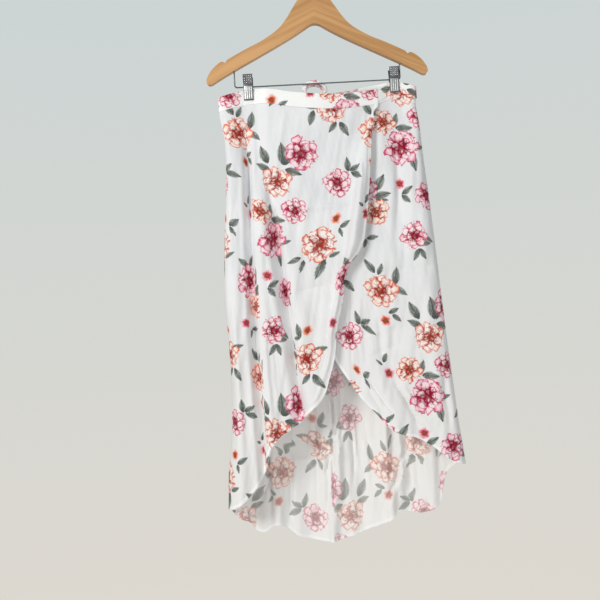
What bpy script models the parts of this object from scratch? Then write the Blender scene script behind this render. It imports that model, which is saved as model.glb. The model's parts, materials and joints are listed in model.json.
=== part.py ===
"""Wrap skirt on a wooden clip hanger.

Frame: +Z up, the front of the skirt faces -Y, +X is to the right of someone looking at the front.
The origin is the inside of the top of the hanger's hook, where a rail carries it.
Sizes are in millimetres. A drop is how far something lies below the origin, and a depth is how far
a layer of cloth stands out from the plane y = 0, towards the front or the back. MM makes metres.
"""

import math
from collections import namedtuple

import bmesh
import bpy
import numpy as np

MM = 0.001
SEAM_GAP = 0.3

# Walls of cloth. The waistband and the ties are two layers, folded and pressed.
PANEL_WALL = 1.2
BAND_WALL = 1.8
TIE_WALL = 1.2
BAND_HEIGHT = 30.0
TIE_WIDTH = 22.0

# Wooden hanger
HANGER_WIDTH = 445.0
WOOD_THICKNESS = 12.0
WOOD_EDGE_ROUND = 2.0
HOOK_WIRE = 3.4
HOOK_RADIUS = 21.0
HOOK_START_ANGLE = -48
HOOK_END_ANGLE = 205
HOOK_SHANK_FOOT = 80.0
HOOK_BORE_TOP = 30.0
BAR_WIRE = 2.8
BAR_DROP = 242.0
BAR_HALF_WIDTH = 169.0
BAR_CORNER = 5.0
BAR_TOP_DROP = 196.0

# Clips
LEFT_CLIP_X = -141.5
RIGHT_CLIP_X = 156.5
JAW_WIDTH = 19.5
JAW_SHEET = 1.2
JAW_TOP = 219.0
JAW_TIP = 270.0
HANDLE_SPREAD = 12.0
BARREL_RADIUS = 4.0
BARREL_LENGTH = 14.0
BARREL_SIDES = 16
HANDLE_BEND = 0.62
HANDLE_BEND_DROP = 12.0
BARREL_SEAT = 4.0
JAW_SLOPE_END = 12.0
JAW_TIP_FLAT = 6.0

# Where the clips press the layers together, and how far that pinch reaches
PINCH_DEPTH = SEAM_GAP / 2 + BAND_WALL / 2
PINCH_SIDE_FADE = 30.0
PINCH_END = 480.0
SIDE_REACH_TOP = 14.0
SIDE_REACH_HEM = 42.0

# Between the clips the front of the waistband stands away from the back one
SAG_X = 8.0
SAG_DEPTH = 11.0
SAG_SPREAD = 78.0
SAG_END = 420.0

# The overlap: the over front ends at OVER_END_X on the waistband, the under front at UNDER_END_X
OVER_END_X = 120.5
UNDER_END_X = -113.0
LAYER_STEP = BAND_WALL + SEAM_GAP

# Where a panel's two sides meet its hem
SIDE_CORNER_DROP = {"over": 1098.0, "under": 1030.0, "back_left": 1101.0, "back_right": 1030.0}

Section = namedtuple("Section", "drop left right front back")
SECTIONS = (
    Section(245, -203, 198, 6, 4),
    Section(300, -203, 198, 9, 5),
    Section(340, -197, 203, 14, 8),
    Section(400, -195, 207, 19, 11),
    Section(470, -199, 213, 23, 14),
    Section(560, -206, 220, 26, 17),
    Section(660, -211, 227, 29, 20),
    Section(760, -208, 234, 32, 23),
    Section(850, -207, 242, 34, 26),
    Section(940, -211, 250, 36, 28),
    Section(1030, -222, 260, 37, 30),
    Section(1190, -229, 262, 37, 31),
)

BandTop = namedtuple("BandTop", "x front back")
BAND_TOPS = (
    BandTop(-204, 262, 262),
    BandTop(-183, 257, 258),
    BandTop(-141, 248, 248),
    BandTop(-100, 250, 252),
    BandTop(-55, 260, 259),
    BandTop(0, 268, 263),
    BandTop(45, 270, 261),
    BandTop(90, 266, 254),
    BandTop(121, 262, 250),
    BandTop(156, 249, 248),
    BandTop(197, 266, 259),
)

EdgePoint = namedtuple("EdgePoint", "x drop")
OVER_FREE_EDGE = (
    EdgePoint(110, 323),
    EdgePoint(104, 349),
    EdgePoint(96, 418),
    EdgePoint(87, 494),
    EdgePoint(81, 535),
    EdgePoint(73, 573),
    EdgePoint(58, 600),
    EdgePoint(37, 625),
    EdgePoint(27, 685),
    EdgePoint(12, 741),
    EdgePoint(3, 805),
    EdgePoint(-9, 843),
    EdgePoint(-18, 870),
    EdgePoint(-32, 890),
)
OVER_HEM = (
    EdgePoint(-194, 1081),
    EdgePoint(-169, 1057),
    EdgePoint(-153, 1037),
    EdgePoint(-141, 1010),
    EdgePoint(-136, 985),
    EdgePoint(-113, 953),
    EdgePoint(-92, 940),
    EdgePoint(-72, 928),
    EdgePoint(-50, 905),
)
UNDER_FREE_EDGE = (
    EdgePoint(-98, 400),
    EdgePoint(-80, 500),
    EdgePoint(-52, 600),
    EdgePoint(-25, 700),
    EdgePoint(-8, 760),
    EdgePoint(5, 806),
    EdgePoint(25, 839),
)
UNDER_HEM = (
    EdgePoint(52, 883),
    EdgePoint(79, 914),
    EdgePoint(109, 948),
    EdgePoint(131, 960),
    EdgePoint(156, 967),
    EdgePoint(191, 987),
    EdgePoint(223, 1013),
)
BACK_HEM = (
    EdgePoint(-210, 1130),
    EdgePoint(-189, 1141),
    EdgePoint(-172, 1162),
    EdgePoint(-158, 1163),
    EdgePoint(-128, 1146),
    EdgePoint(-81, 1177),
    EdgePoint(-29, 1188),
    EdgePoint(34, 1178),
    EdgePoint(62, 1168),
    EdgePoint(102, 1152),
    EdgePoint(127, 1134),
    EdgePoint(163, 1139),
    EdgePoint(191, 1134),
    EdgePoint(213, 1117),
    EdgePoint(220, 1085),
    EdgePoint(231, 1055),
)

# A fold runs down a curved line from its top to its end. It rises by so much (or sinks, where that
# is negative) and dies out to each side over its own width. One that fades is gone at its end.
Fold = namedtuple("Fold", "top top_x mid_x end end_x rise left right fades")
FRONT_FOLDS = (
    Fold(285, -147, -155, 1000, -149, -15, 15, 13, False),
    Fold(330, -126, -131, 990, -128, 7, 12, 26, False),
    Fold(440, -112, -84, 930, -66, -9, 34, 16, False),
    Fold(480, -86, -62, 905, -42, 5, 18, 30, False),
    Fold(560, -186, -188, 1090, -196, 5, 14, 22, False),
)
UNDER_FOLDS = (
    Fold(300, 160, 150, 720, 139, -7, 18, 26, True),
    Fold(380, 192, 196, 1010, 214, 5, 24, 16, False),
    Fold(800, 112, 138, 970, 176, -6, 26, 16, False),
    Fold(700, 66, 92, 980, 130, 4, 24, 20, False),
)
BACK_FOLDS = (
    Fold(300, -146, -158, 1170, -174, 8, 26, 20, False),
    Fold(560, -150, -138, 1150, -128, -13, 18, 22, False),
    Fold(480, -80, -66, 1190, -58, 8, 30, 32, False),
    Fold(620, -12, -2, 1185, -16, -12, 12, 20, False),
    Fold(520, 40, 44, 1180, 52, 8, 26, 30, False),
    Fold(640, 96, 102, 1155, 110, -12, 20, 16, False),
    Fold(300, 162, 158, 1140, 150, 9, 26, 22, False),
    Fold(760, 196, 200, 1130, 196, -8, 16, 18, False),
)
FOLD_GROWTH = 130.0

# The strip along the over front's free edge rolls out, away from the under front. From its inner
# line it rises steeply to a crest, and then falls a little to the edge.
Roll = namedtuple("Roll", "drop width lift")
FREE_EDGE_ROLL = (
    Roll(300, 12, 0),
    Roll(349, 18, 7),
    Roll(431, 28, 17),
    Roll(507, 36, 24),
    Roll(573, 37, 23),
    Roll(617, 20, 17),
    Roll(700, 20, 14),
    Roll(772, 18, 11),
    Roll(840, 22, 7),
    Roll(895, 20, 0),
)
ROLL_CREST = 0.4
ROLL_FALL = 0.6

# How much further in than its layer the under front lies, down the skirt
Ease = namedtuple("Ease", "drop inward")
UNDER_EASE = (Ease(290, 1), Ease(340, 4), Ease(600, 6), Ease(900, 7))
EASE_FADE_TOP = 25.0
EASE_FADE_GROWTH = 0.3

# The outline of the right half of the hanger's wood, from the middle of the top to the inner apex
WoodPoint = namedtuple("WoodPoint", "x drop")
WOOD_OUTLINE = (
    WoodPoint(0, 58),
    WoodPoint(13, 60),
    WoodPoint(24, 67),
    WoodPoint(33, 78),
    WoodPoint(43, 93),
    WoodPoint(55, 111),
    WoodPoint(72, 130),
    WoodPoint(105, 152),
    WoodPoint(179, 188),
    WoodPoint(183, 194),
    WoodPoint(189, 195),
    WoodPoint(193, 193),
    WoodPoint(203, 199),
    WoodPoint(214, 208),
    WoodPoint(HANGER_WIDTH / 2, 224),
    WoodPoint(220.5, 230.5),
    WoodPoint(214, 232),
    WoodPoint(190, 216),
    WoodPoint(168, 204),
    WoodPoint(77, 158),
    WoodPoint(12, 121),
    WoodPoint(0, 118),
)

# The hook's neck, from its foot in the wood up to its bow
NeckPoint = namedtuple("NeckPoint", "x drop")
HOOK_NECK = (NeckPoint(0, HOOK_SHANK_FOOT), NeckPoint(0, 60), NeckPoint(1.5, 49), NeckPoint(8, 41))

# The bow at the back of the waistband
KNOT_X = -4.0
KNOT_HALF_WIDTH = 9.0
KNOT_HALF_HEIGHT = 11.0
KNOT_THICKNESS = 9.0
KNOT_ROUND = 3.0
KNOT_CLEARANCE = 0.6
LoopPoint = namedtuple("LoopPoint", "x drop")
TIE_LOOP_ROUTE = (
    LoopPoint(-10, 264),
    LoopPoint(-23, 260),
    LoopPoint(-31, 250),
    LoopPoint(-27, 239),
    LoopPoint(-16, 234.5),
    LoopPoint(-2, 233.5),
    LoopPoint(9, 238),
    LoopPoint(19, 248),
    LoopPoint(18, 258),
    LoopPoint(2, 264),
)
# Across the loop's ribbon: how far back it lies, and how far out from the route
LoopSection = namedtuple("LoopSection", "back out")
TIE_LOOP_SECTION = (LoopSection(19, -4), LoopSection(13, 0), LoopSection(8, -1), LoopSection(5.5, -9))
LOOP_LEAN = 3.0
LOOP_FOOT_BACK = 13.0
LOOP_FOOT_NARROWING = 0.3

# The middle line of the over front's tie, from the end of its waistband round the right side
TiePoint = namedtuple("TiePoint", "x drop")
TIE_ROUTE = (
    TiePoint(OVER_END_X, 277),
    TiePoint(141, 265),
    TiePoint(156, 259),
    TiePoint(180, 264),
    TiePoint(200, 272),
)
TIE_HEIGHT_ON_BAND = 0.47
Tail = namedtuple("Tail", "name start_x end_x length")
TIE_TAILS = (Tail("tie_tail_left", -15.5, -31, 250), Tail("tie_tail_right", 7.5, 24, 225))
TAIL_WIDTH = 21.0
TAIL_SLANT = 6.0
TAIL_LIFT = 0.9

# Rows of faces down each panel, and what the columns follow: evenly spaced ones between the clips,
# closer ones in the strip at the free edge, beside the clips and where the sides turn
OVER_ROWS = 18
UNDER_ROWS = 15
BACK_ROWS = 17
TAIL_ROWS = 8
LOOP_COLUMNS = 16
EVEN_STATIONS = np.linspace(-95, 104, 9)
FREE_EDGE_STATIONS = (93.0, 112.0)
SIDE_STATIONS = (0.1, 0.35, 1.0)
CLIP_STATIONS = (JAW_WIDTH / 2 + 0.5, JAW_WIDTH / 2 + 14)

CREASE_ANGLE = math.radians(50)
MERGE_DISTANCE = 0.00001
CLOTH_WHITE = (0.80, 0.81, 0.82)
WOOD_COLOUR = (0.62, 0.30, 0.10)
STEEL_COLOUR = (0.55, 0.56, 0.57)
BAR_COLOUR = (0.18, 0.18, 0.19)


# ---- curves and tables -------------------------------------------------------------------------


def column(rows, name):
    """One named column of a table."""
    return np.array([getattr(row, name) for row in rows], float)


def curve(at, knots, values):
    """A smooth line through the values at rising knots, level past its ends."""
    steps = np.diff(knots)
    slopes = np.diff(values) / steps
    tangents = np.concatenate([slopes[:1], (slopes[:-1] + slopes[1:]) / 2, slopes[-1:]])
    at = np.clip(at, knots[0], knots[-1])
    span = np.clip(np.searchsorted(knots, at, side="right") - 1, 0, len(steps) - 1)
    step = steps[span]
    t = (at - knots[span]) / step
    start = (1 + 2 * t) * (1 - t) ** 2 * values[span] + t * (1 - t) ** 2 * step * tangents[span]
    end = t**2 * (3 - 2 * t) * values[span + 1] + t**2 * (t - 1) * step * tangents[span + 1]
    return start + end


def read(rows, key, name, at):
    """A table's column as a smooth function of another of its columns."""
    return curve(at, column(rows, key), column(rows, name))


def ease(t):
    """0 up to t = 0, 1 from t = 1, and smooth between."""
    t = np.clip(t, 0, 1)
    return t * t * (3 - 2 * t)


def along(points, shares):
    """Places at these shares of the length of a smooth line through x and drop pairs."""
    points = np.array(points, float)
    lengths = np.concatenate([[0], np.cumsum(np.hypot(*np.diff(points, axis=0).T))])
    at = shares * lengths[-1]
    return np.stack([curve(at, lengths, points[:, 0]), curve(at, lengths, points[:, 1])], axis=-1)


# ---- the depth of each layer of cloth ----------------------------------------------------------


def side_x(side, drop):
    """Where the skirt's left or right side edge lies."""
    return read(SECTIONS, "drop", side, drop)


LEFT_X, RIGHT_X = SECTIONS[0].left, SECTIONS[0].right


def openness(x, drop):
    """0 where a clip presses the layers together, rising to 1 away from the clips."""
    held = 0.0
    for clip_x in (LEFT_CLIP_X, RIGHT_CLIP_X):
        held = held + 1 - ease((np.abs(x - clip_x) - JAW_WIDTH / 2) / PINCH_SIDE_FADE)
    return 1 - held * (1 - ease((drop - JAW_TIP) / (PINCH_END - JAW_TIP)))


def side_round(x, drop):
    """0 at a side edge, and 1 a short reach in from it, along a quarter of an ellipse."""
    share = (drop - SECTIONS[0].drop) / (SECTIONS[-1].drop - SECTIONS[0].drop)
    reach = SIDE_REACH_TOP + (SIDE_REACH_HEM - SIDE_REACH_TOP) * np.clip(share, 0, 1)
    inset = np.minimum(x - side_x("left", drop), side_x("right", drop) - x)
    return np.sqrt(1 - (1 - np.clip(inset / reach, 0, 1)) ** 2)


def folds(table, x, drop):
    """The sum of a table's folds at these places."""
    total = 0.0
    for fold in table:
        middle = (fold.top + fold.end) / 2
        knots = np.array([fold.top, middle, fold.end], float)
        line = curve(drop, knots, np.array([fold.top_x, fold.mid_x, fold.end_x], float))
        aside = np.where(x < line, (line - x) / fold.left, (x - line) / fold.right)
        shape = (1 + np.cos(np.pi * np.clip(aside, 0, 1))) / 2
        growth = ease((drop - fold.top) / FOLD_GROWTH)
        if fold.fades:
            growth = growth * ease((fold.end - drop) / FOLD_GROWTH)
        total = total + fold.rise * growth * shape
    return total


def sag(x, drop):
    """How much further out the front stands between the clips."""
    across = np.exp(-(((x - SAG_X) / SAG_SPREAD) ** 2))
    return SAG_DEPTH * across * (1 - ease((drop - JAW_TIP) / (SAG_END - JAW_TIP)))


def front_form(x, drop, table):
    """The depth that the front layers share, with this table's folds on it."""
    body = (read(SECTIONS, "drop", "front", drop) + sag(x, drop)) * side_round(x, drop)
    return PINCH_DEPTH + openness(x, drop) * (body + folds(table, x, drop))


def free_edge_x(drop):
    """Where the over front's free edge lies."""
    rows = (EdgePoint(OVER_END_X, 292),) + OVER_FREE_EDGE
    return read(rows, "drop", "x", drop)


def roll(x, drop):
    """How far the strip along the free edge rolls out."""
    share = 1 - (free_edge_x(drop) - x) / read(FREE_EDGE_ROLL, "drop", "width", drop)
    fall = ROLL_FALL * ease((share - ROLL_CREST) / (1 - ROLL_CREST))
    return read(FREE_EDGE_ROLL, "drop", "lift", drop) * ease(share / ROLL_CREST) * (1 - fall)


def over_depth(x, drop):
    return front_form(x, drop, FRONT_FOLDS) + roll(x, drop)


def under_depth(x, drop):
    below_clips = ease((drop - JAW_TIP) / BAND_HEIGHT)
    inward = LAYER_STEP + read(UNDER_EASE, "drop", "inward", drop) * below_clips
    fade = EASE_FADE_TOP + EASE_FADE_GROWTH * (drop - SECTIONS[1].drop)
    covered = 1 - ease((x - free_edge_x(drop)) / np.maximum(fade, EASE_FADE_TOP))
    return front_form(x, drop, UNDER_FOLDS) - inward * covered


def back_depth(x, drop):
    body = read(SECTIONS, "drop", "back", drop) * side_round(x, drop)
    return PINCH_DEPTH + openness(x, drop) * (body + folds(BACK_FOLDS, x, drop))


FRONT, BACK = -1, 1


def layer_points(x, drop, depth, facing):
    """Points in space for flat places, at a depth function's distance to the front or back."""
    return np.stack([x, facing * depth(x, drop), -drop], axis=-1)


def strip(x, middle, width, depth, facing):
    """Points of a level ribbon on a layer: three rows about its middle line."""
    drop = middle[None] + width * np.linspace(-0.5, 0.5, 3)[:, None]
    return layer_points(np.broadcast_to(x, drop.shape), drop, depth, facing)


# ---- building tools ----------------------------------------------------------------------------


def material(name, colour, roughness, metallic=0.0):
    made = bpy.data.materials.new(name)
    made.use_nodes = True
    shader = made.node_tree.nodes["Principled BSDF"]
    shader.inputs["Base Color"].default_value = (*colour, 1)
    shader.inputs["Roughness"].default_value = roughness
    shader.inputs["Metallic"].default_value = metallic
    return made


def add_object(name, data, finish):
    made = bpy.data.objects.new(name, data)
    made.data.materials.append(finish)
    parts.objects.link(made)
    return made


def sheet(name, points, wall, finish):
    """A wall of even thickness whose middle runs through a grid of points, rows by columns."""
    rows, columns, _ = points.shape
    index = np.arange(rows * columns).reshape(rows, columns)
    corners = np.stack([index[:-1, :-1], index[1:, :-1], index[1:, 1:], index[:-1, 1:]], axis=-1)
    mesh = bpy.data.meshes.new(name)
    mesh.from_pydata((points.reshape(-1, 3) * MM).tolist(), [], corners.reshape(-1, 4).tolist())
    made = add_object(name, mesh, finish)
    shell = made.modifiers.new("Wall", "SOLIDIFY")
    shell.thickness = wall * MM
    shell.offset = 0
    mesh.shade_smooth()
    mesh.set_sharp_from_angle(angle=CREASE_ANGLE)
    return made


def side_turn(points, at_end):
    """Adds the last column of a layer at a side edge, where it turns to meet the other layer."""
    edge = points[:, -1:] if at_end else points[:, :1]
    turned = edge.copy()
    turned[..., 1] = np.sign(edge[..., 1]) * SEAM_GAP / 2
    return np.concatenate([points, turned] if at_end else [turned, points], axis=1)


def patch(top, bottom, left, right):
    """Places over a four-sided piece, blended from its edges. Top and bottom run left to right,
    left and right run down, and the corners agree."""
    across = np.linspace(0, 1, len(top))[None, :, None]
    down = np.linspace(0, 1, len(left))[:, None, None]
    between_sides = (1 - across) * left[:, None] + across * right[:, None]
    between_ends = (1 - down) * top[None] + down * bottom[None]
    corners = (1 - down) * ((1 - across) * top[0] + across * top[-1])
    corners = corners + down * ((1 - across) * bottom[0] + across * bottom[-1])
    return between_sides + between_ends - corners


def side_edge(side, start, end, shares):
    """A panel's side, from its corner under the waistband down to its corner at the hem."""
    drop = start + (end - start) * shares
    return np.stack([side_x(side, drop), drop], axis=-1)


def band_bottom(which, x):
    return read(BAND_TOPS, "x", which, x) + BAND_HEIGHT


def seam_line(which, x):
    """The top of a panel, just below its waistband."""
    return np.stack([x, band_bottom(which, x) + SEAM_GAP], axis=-1)


def band_stations(start, end):
    """Places across the waistband, closer where it bends beside the clips and at the sides. Its
    layers and the tops of the panels share them, so that none cuts into the next."""
    places = [LEFT_X, RIGHT_X, UNDER_END_X, OVER_END_X, *EVEN_STATIONS, *FREE_EDGE_STATIONS]
    for share in SIDE_STATIONS:
        places += [LEFT_X + SIDE_REACH_TOP * share, RIGHT_X - SIDE_REACH_TOP * share]
    for clip_x in (LEFT_CLIP_X, RIGHT_CLIP_X):
        for aside in CLIP_STATIONS:
            places += [clip_x - aside, clip_x + aside]
    places = np.array(sorted(places))
    return places[(places >= start) & (places <= end)]


# ---- the skirt ---------------------------------------------------------------------------------


def panel(top, left, right, hem, depth, facing):
    """A panel's points. Its columns start at the waistband's stations."""
    across = (top[:, 0] - top[0, 0]) / (top[-1, 0] - top[0, 0])
    bottom = along((tuple(left[-1]),) + hem + (tuple(right[-1]),), across)
    place = patch(top, bottom, left, right)
    return layer_points(place[..., 0], place[..., 1], depth, facing)


def over_front(finish):
    down = np.linspace(0, 1, OVER_ROWS + 1)
    top = seam_line("front", band_stations(LEFT_X, OVER_END_X))
    left = side_edge("left", top[0, 1], SIDE_CORNER_DROP["over"], down)
    right = along((tuple(top[-1]),) + OVER_FREE_EDGE, down)
    points = panel(top, left, right, OVER_HEM, over_depth, FRONT)
    sheet("front_over", side_turn(points, False), PANEL_WALL, finish)


def under_front(finish):
    down = np.linspace(0, 1, UNDER_ROWS + 1)
    top = seam_line("front", band_stations(UNDER_END_X, RIGHT_X))
    left = along((tuple(top[0]),) + UNDER_FREE_EDGE, down)
    right = side_edge("right", top[-1, 1], SIDE_CORNER_DROP["under"], down)
    points = panel(top, left, right, UNDER_HEM, under_depth, FRONT)
    sheet("front_under", side_turn(points, True), PANEL_WALL, finish)


def back(finish):
    down = np.linspace(0, 1, BACK_ROWS + 1)
    top = seam_line("back", band_stations(LEFT_X, RIGHT_X))
    left = side_edge("left", top[0, 1], SIDE_CORNER_DROP["back_left"], down)
    right = side_edge("right", top[-1, 1], SIDE_CORNER_DROP["back_right"], down)
    points = panel(top, left, right, BACK_HEM, back_depth, BACK)
    sheet("back", side_turn(side_turn(points, True), False), PANEL_WALL, finish)


def waistband(finish):
    pieces = (
        ("waistband_over", "front", LEFT_X, OVER_END_X, over_depth, FRONT),
        ("waistband_under", "front", UNDER_END_X, RIGHT_X, under_depth, FRONT),
        ("waistband_back", "back", LEFT_X, RIGHT_X, back_depth, BACK),
    )
    for name, which, start, end, depth, facing in pieces:
        x = band_stations(start, end)
        middle = read(BAND_TOPS, "x", which, x) + BAND_HEIGHT / 2
        points = strip(x, middle, BAND_HEIGHT, depth, facing)
        if start == LEFT_X:
            points = side_turn(points, False)
        if end == RIGHT_X:
            points = side_turn(points, True)
        sheet(name, points, BAND_WALL, finish)


# ---- the ties ----------------------------------------------------------------------------------


def moved_out(points, distance):
    """A grid of points moved out along the horizontal normals of its columns."""
    run = np.gradient(points, axis=1)
    outward = np.stack([run[..., 1], -run[..., 0], np.zeros(run.shape[:2])], axis=-1)
    return points + distance * outward / np.linalg.norm(outward, axis=-1, keepdims=True)


TIE_OFFSET = BAND_WALL / 2 + SEAM_GAP + TIE_WALL / 2


def tie_middle(x):
    """Where a tie's middle line runs on the back of the waistband."""
    return read(BAND_TOPS, "x", "back", x) + BAND_HEIGHT * TIE_HEIGHT_ON_BAND


def tie_behind(x):
    """A tie's places on the back of the waistband, from the right to the left."""
    return strip(x, tie_middle(x), TIE_WIDTH, back_depth, BACK)[:, ::-1]


def ties(finish):
    """The over front's tie goes through the right clip and round the right side to the bow, and
    the under front's tie comes out at the left side and goes to the bow too."""
    start = OVER_END_X + SEAM_GAP
    front_x = np.concatenate([[start], band_stations(start, RIGHT_X)])
    front = strip(front_x, read(TIE_ROUTE, "x", "drop", front_x), TIE_WIDTH, under_depth, FRONT)
    knot_side = KNOT_X + KNOT_HALF_WIDTH + SEAM_GAP
    behind = tie_behind(np.concatenate([[knot_side], band_stations(knot_side, RIGHT_X)]))
    behind[:, 0, 2] = front[:, -1, 2]
    around = np.concatenate([front, behind], axis=1)
    sheet("tie_right", moved_out(around, TIE_OFFSET), TIE_WALL, finish)
    knot_side = KNOT_X - KNOT_HALF_WIDTH - SEAM_GAP
    stations = band_stations(LEFT_X + SEAM_GAP, knot_side)
    behind = tie_behind(np.concatenate([stations, [knot_side]]))
    sheet("tie_left", moved_out(behind, TIE_OFFSET), TIE_WALL, finish)


def knot(finish):
    drop = tie_middle(KNOT_X)
    rear = back_depth(KNOT_X, drop) + BAND_WALL / 2 + SEAM_GAP + KNOT_CLEARANCE
    half_sizes = np.array([KNOT_HALF_WIDTH, KNOT_THICKNESS / 2, KNOT_HALF_HEIGHT])
    centre = np.array([KNOT_X, rear + KNOT_THICKNESS / 2, -drop])
    mesh = bpy.data.meshes.new("tie_knot")
    cage = bmesh.new()
    bmesh.ops.create_cube(cage, size=2)
    bmesh.ops.scale(cage, vec=half_sizes * MM, verts=cage.verts)
    bmesh.ops.bevel(cage, geom=cage.edges, offset=KNOT_ROUND * MM, segments=2, profile=0.5, affect="EDGES")
    bmesh.ops.translate(cage, vec=centre * MM, verts=cage.verts)
    cage.to_mesh(mesh)
    cage.free()
    mesh.shade_smooth()
    add_object("tie_knot", mesh, finish)


def tie_loop(finish):
    """The bow's loop: a ribbon along its route, with its front lip turned down."""
    knot_top = tie_middle(KNOT_X) - KNOT_HALF_HEIGHT - SEAM_GAP
    route = along(TIE_LOOP_ROUTE, np.linspace(0, 1, LOOP_COLUMNS + 1))
    route[:, 1] = np.minimum(route[:, 1], knot_top - TIE_WALL / 2)
    run = np.gradient(route, axis=0)
    outward = np.stack([run[:, 1], -run[:, 0]], axis=-1)
    outward /= np.linalg.norm(outward, axis=-1, keepdims=True)
    height = (knot_top - route[:, 1]) / (knot_top - route[:, 1].min())
    ends = ease(height * 2)
    points = []
    for section in TIE_LOOP_SECTION:
        out = section.out * ends
        narrowing = (1 - ends) * (LOOP_FOOT_BACK - section.back) * LOOP_FOOT_NARROWING
        back = section.back + narrowing - LOOP_LEAN * height
        place = route + outward * out[:, None]
        points.append(np.stack([place[:, 0], back, -place[:, 1]], axis=-1))
    sheet("tie_loop", np.array(points), TIE_WALL, finish)


def tie_tails(finish):
    """The free ends below the knot, hanging on the outside of the back."""
    top = tie_middle(KNOT_X) + KNOT_HALF_HEIGHT + SEAM_GAP
    down = np.linspace(0, 1, TAIL_ROWS + 1)[:, None]
    across = np.linspace(0.5, -0.5, 3)[None]
    for tail in TIE_TAILS:
        drop = top + tail.length * down + TAIL_SLANT * (across + 0.5) * down
        x = tail.start_x + (tail.end_x - tail.start_x) * down + TAIL_WIDTH * across
        points = layer_points(x, drop, back_depth, BACK)
        points[..., 1] += TIE_OFFSET + TAIL_LIFT * ease(down * TAIL_ROWS)
        sheet(tail.name, points, TIE_WALL, finish)


# ---- the hanger --------------------------------------------------------------------------------


def solid_mesh(made):
    """The object with its curve and modifiers made into one plain mesh, its caps joined on."""
    shape = bpy.data.meshes.new_from_object(made.evaluated_get(bpy.context.evaluated_depsgraph_get()))
    work = bmesh.new()
    work.from_mesh(shape)
    bmesh.ops.remove_doubles(work, verts=work.verts, dist=MERGE_DISTANCE)
    work.to_mesh(shape)
    work.free()
    return shape


def wire(name, route, diameter, finish):
    """A round wire along a line of x and drop pairs in the plane y = 0."""
    path = bpy.data.curves.new(name, "CURVE")
    path.dimensions = "3D"
    path.bevel_depth = diameter / 2 * MM
    path.bevel_resolution = 2
    path.use_fill_caps = True
    spline = path.splines.new("POLY")
    spline.points.add(len(route) - 1)
    for point, (x, drop) in zip(spline.points, route):
        point.co = (x * MM, 0, -drop * MM, 1)
    return add_object(name, path, finish)


def arc(centre, radius, start, end, count):
    """Points on an arc; angles in degrees from +X, rising towards +Z."""
    angles = np.radians(np.linspace(start, end, count))
    return [(centre[0] + radius * math.cos(a), centre[1] - radius * math.sin(a)) for a in angles]


def hook_route():
    """Up from the wood, out to the right, over the top and down to a short turned-in end."""
    centre = (0.0, HOOK_RADIUS - HOOK_WIRE / 2)
    bow = arc(centre, HOOK_RADIUS, HOOK_START_ANGLE, HOOK_END_ANGLE, 22)
    neck = along((*HOOK_NECK, bow[0]), np.linspace(0, 1, 8))
    return [tuple(point) for point in neck[:-1]] + bow


def bar_route():
    reach = BAR_HALF_WIDTH - BAR_CORNER
    level = BAR_DROP - BAR_CORNER
    left = [(-BAR_HALF_WIDTH, BAR_TOP_DROP)] + arc((-reach, level), BAR_CORNER, 180, 270, 6)
    right = arc((reach, level), BAR_CORNER, 270, 360, 6) + [(BAR_HALF_WIDTH, BAR_TOP_DROP)]
    return left + right


def hanger_wood(finish):
    """A flat outline with rounded edges, bored for the hook and for both ends of the bar."""
    flat = bpy.data.curves.new("wood_outline", "CURVE")
    flat.dimensions = "2D"
    flat.fill_mode = "BOTH"
    flat.extrude = (WOOD_THICKNESS / 2 - WOOD_EDGE_ROUND) * MM
    flat.bevel_depth = WOOD_EDGE_ROUND * MM
    flat.bevel_resolution = 1
    flat.offset = -WOOD_EDGE_ROUND * MM
    right = list(WOOD_OUTLINE)
    left = [WoodPoint(-point.x, point.drop) for point in reversed(right[1:-1])]
    spline = flat.splines.new("POLY")
    spline.points.add(len(right) + len(left) - 1)
    for point, place in zip(spline.points, right + left):
        point.co = (place.x * MM, -place.drop * MM, 0, 1)
    spline.use_cyclic_u = True
    outline = bpy.data.objects.new("wood_outline", flat)
    outline.rotation_euler = (math.radians(90), 0, 0)
    parts.objects.link(outline)
    bpy.context.view_layer.update()
    shape = solid_mesh(outline)
    shape.transform(outline.matrix_world)
    bpy.data.objects.remove(outline)
    wood = add_object("hanger_wood", shape, finish)
    bar_bore = (BAR_TOP_DROP - SEAM_GAP, BAR_DROP, BAR_WIRE)
    bores = (
        ("hook_bore", 0, HOOK_BORE_TOP, HOOK_SHANK_FOOT + SEAM_GAP, HOOK_WIRE),
        ("bar_bore_left", -BAR_HALF_WIDTH, *bar_bore),
        ("bar_bore_right", BAR_HALF_WIDTH, *bar_bore),
    )
    for name, x, top, bottom, diameter in bores:
        bpy.ops.mesh.primitive_cylinder_add(
            vertices=16,
            radius=(diameter / 2 + SEAM_GAP) * MM,
            depth=(bottom - top) * MM,
            location=(x * MM, 0, -(top + bottom) / 2 * MM),
        )
        cutter = bpy.context.object
        cutter.name = name
        cutter.hide_render = True
        cutter.display_type = "WIRE"
        for collection in list(cutter.users_collection):
            collection.objects.unlink(cutter)
        cutters.objects.link(cutter)
        cut = wood.modifiers.new(name, "BOOLEAN")
        cut.operation = "DIFFERENCE"
        cut.object = cutter


def jaw_profile(facing, tip_depth):
    """The bent sheet of one jaw, from the top of its handle to its tip, as depth and drop pairs."""
    at_barrel = BARREL_RADIUS + SEAM_GAP + JAW_SHEET / 2
    tip = tip_depth + JAW_SHEET / 2
    return [
        (facing * HANDLE_SPREAD, JAW_TOP),
        (facing * HANDLE_SPREAD * HANDLE_BEND, JAW_TOP + HANDLE_BEND_DROP),
        (facing * at_barrel, BAR_DROP - BARREL_SEAT),
        (facing * at_barrel, BAR_DROP + BARREL_SEAT),
        (facing * max(tip, at_barrel - JAW_SHEET), JAW_TIP - JAW_SLOPE_END),
        (facing * tip, JAW_TIP - JAW_TIP_FLAT),
        (facing * tip, JAW_TIP),
    ]


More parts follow.
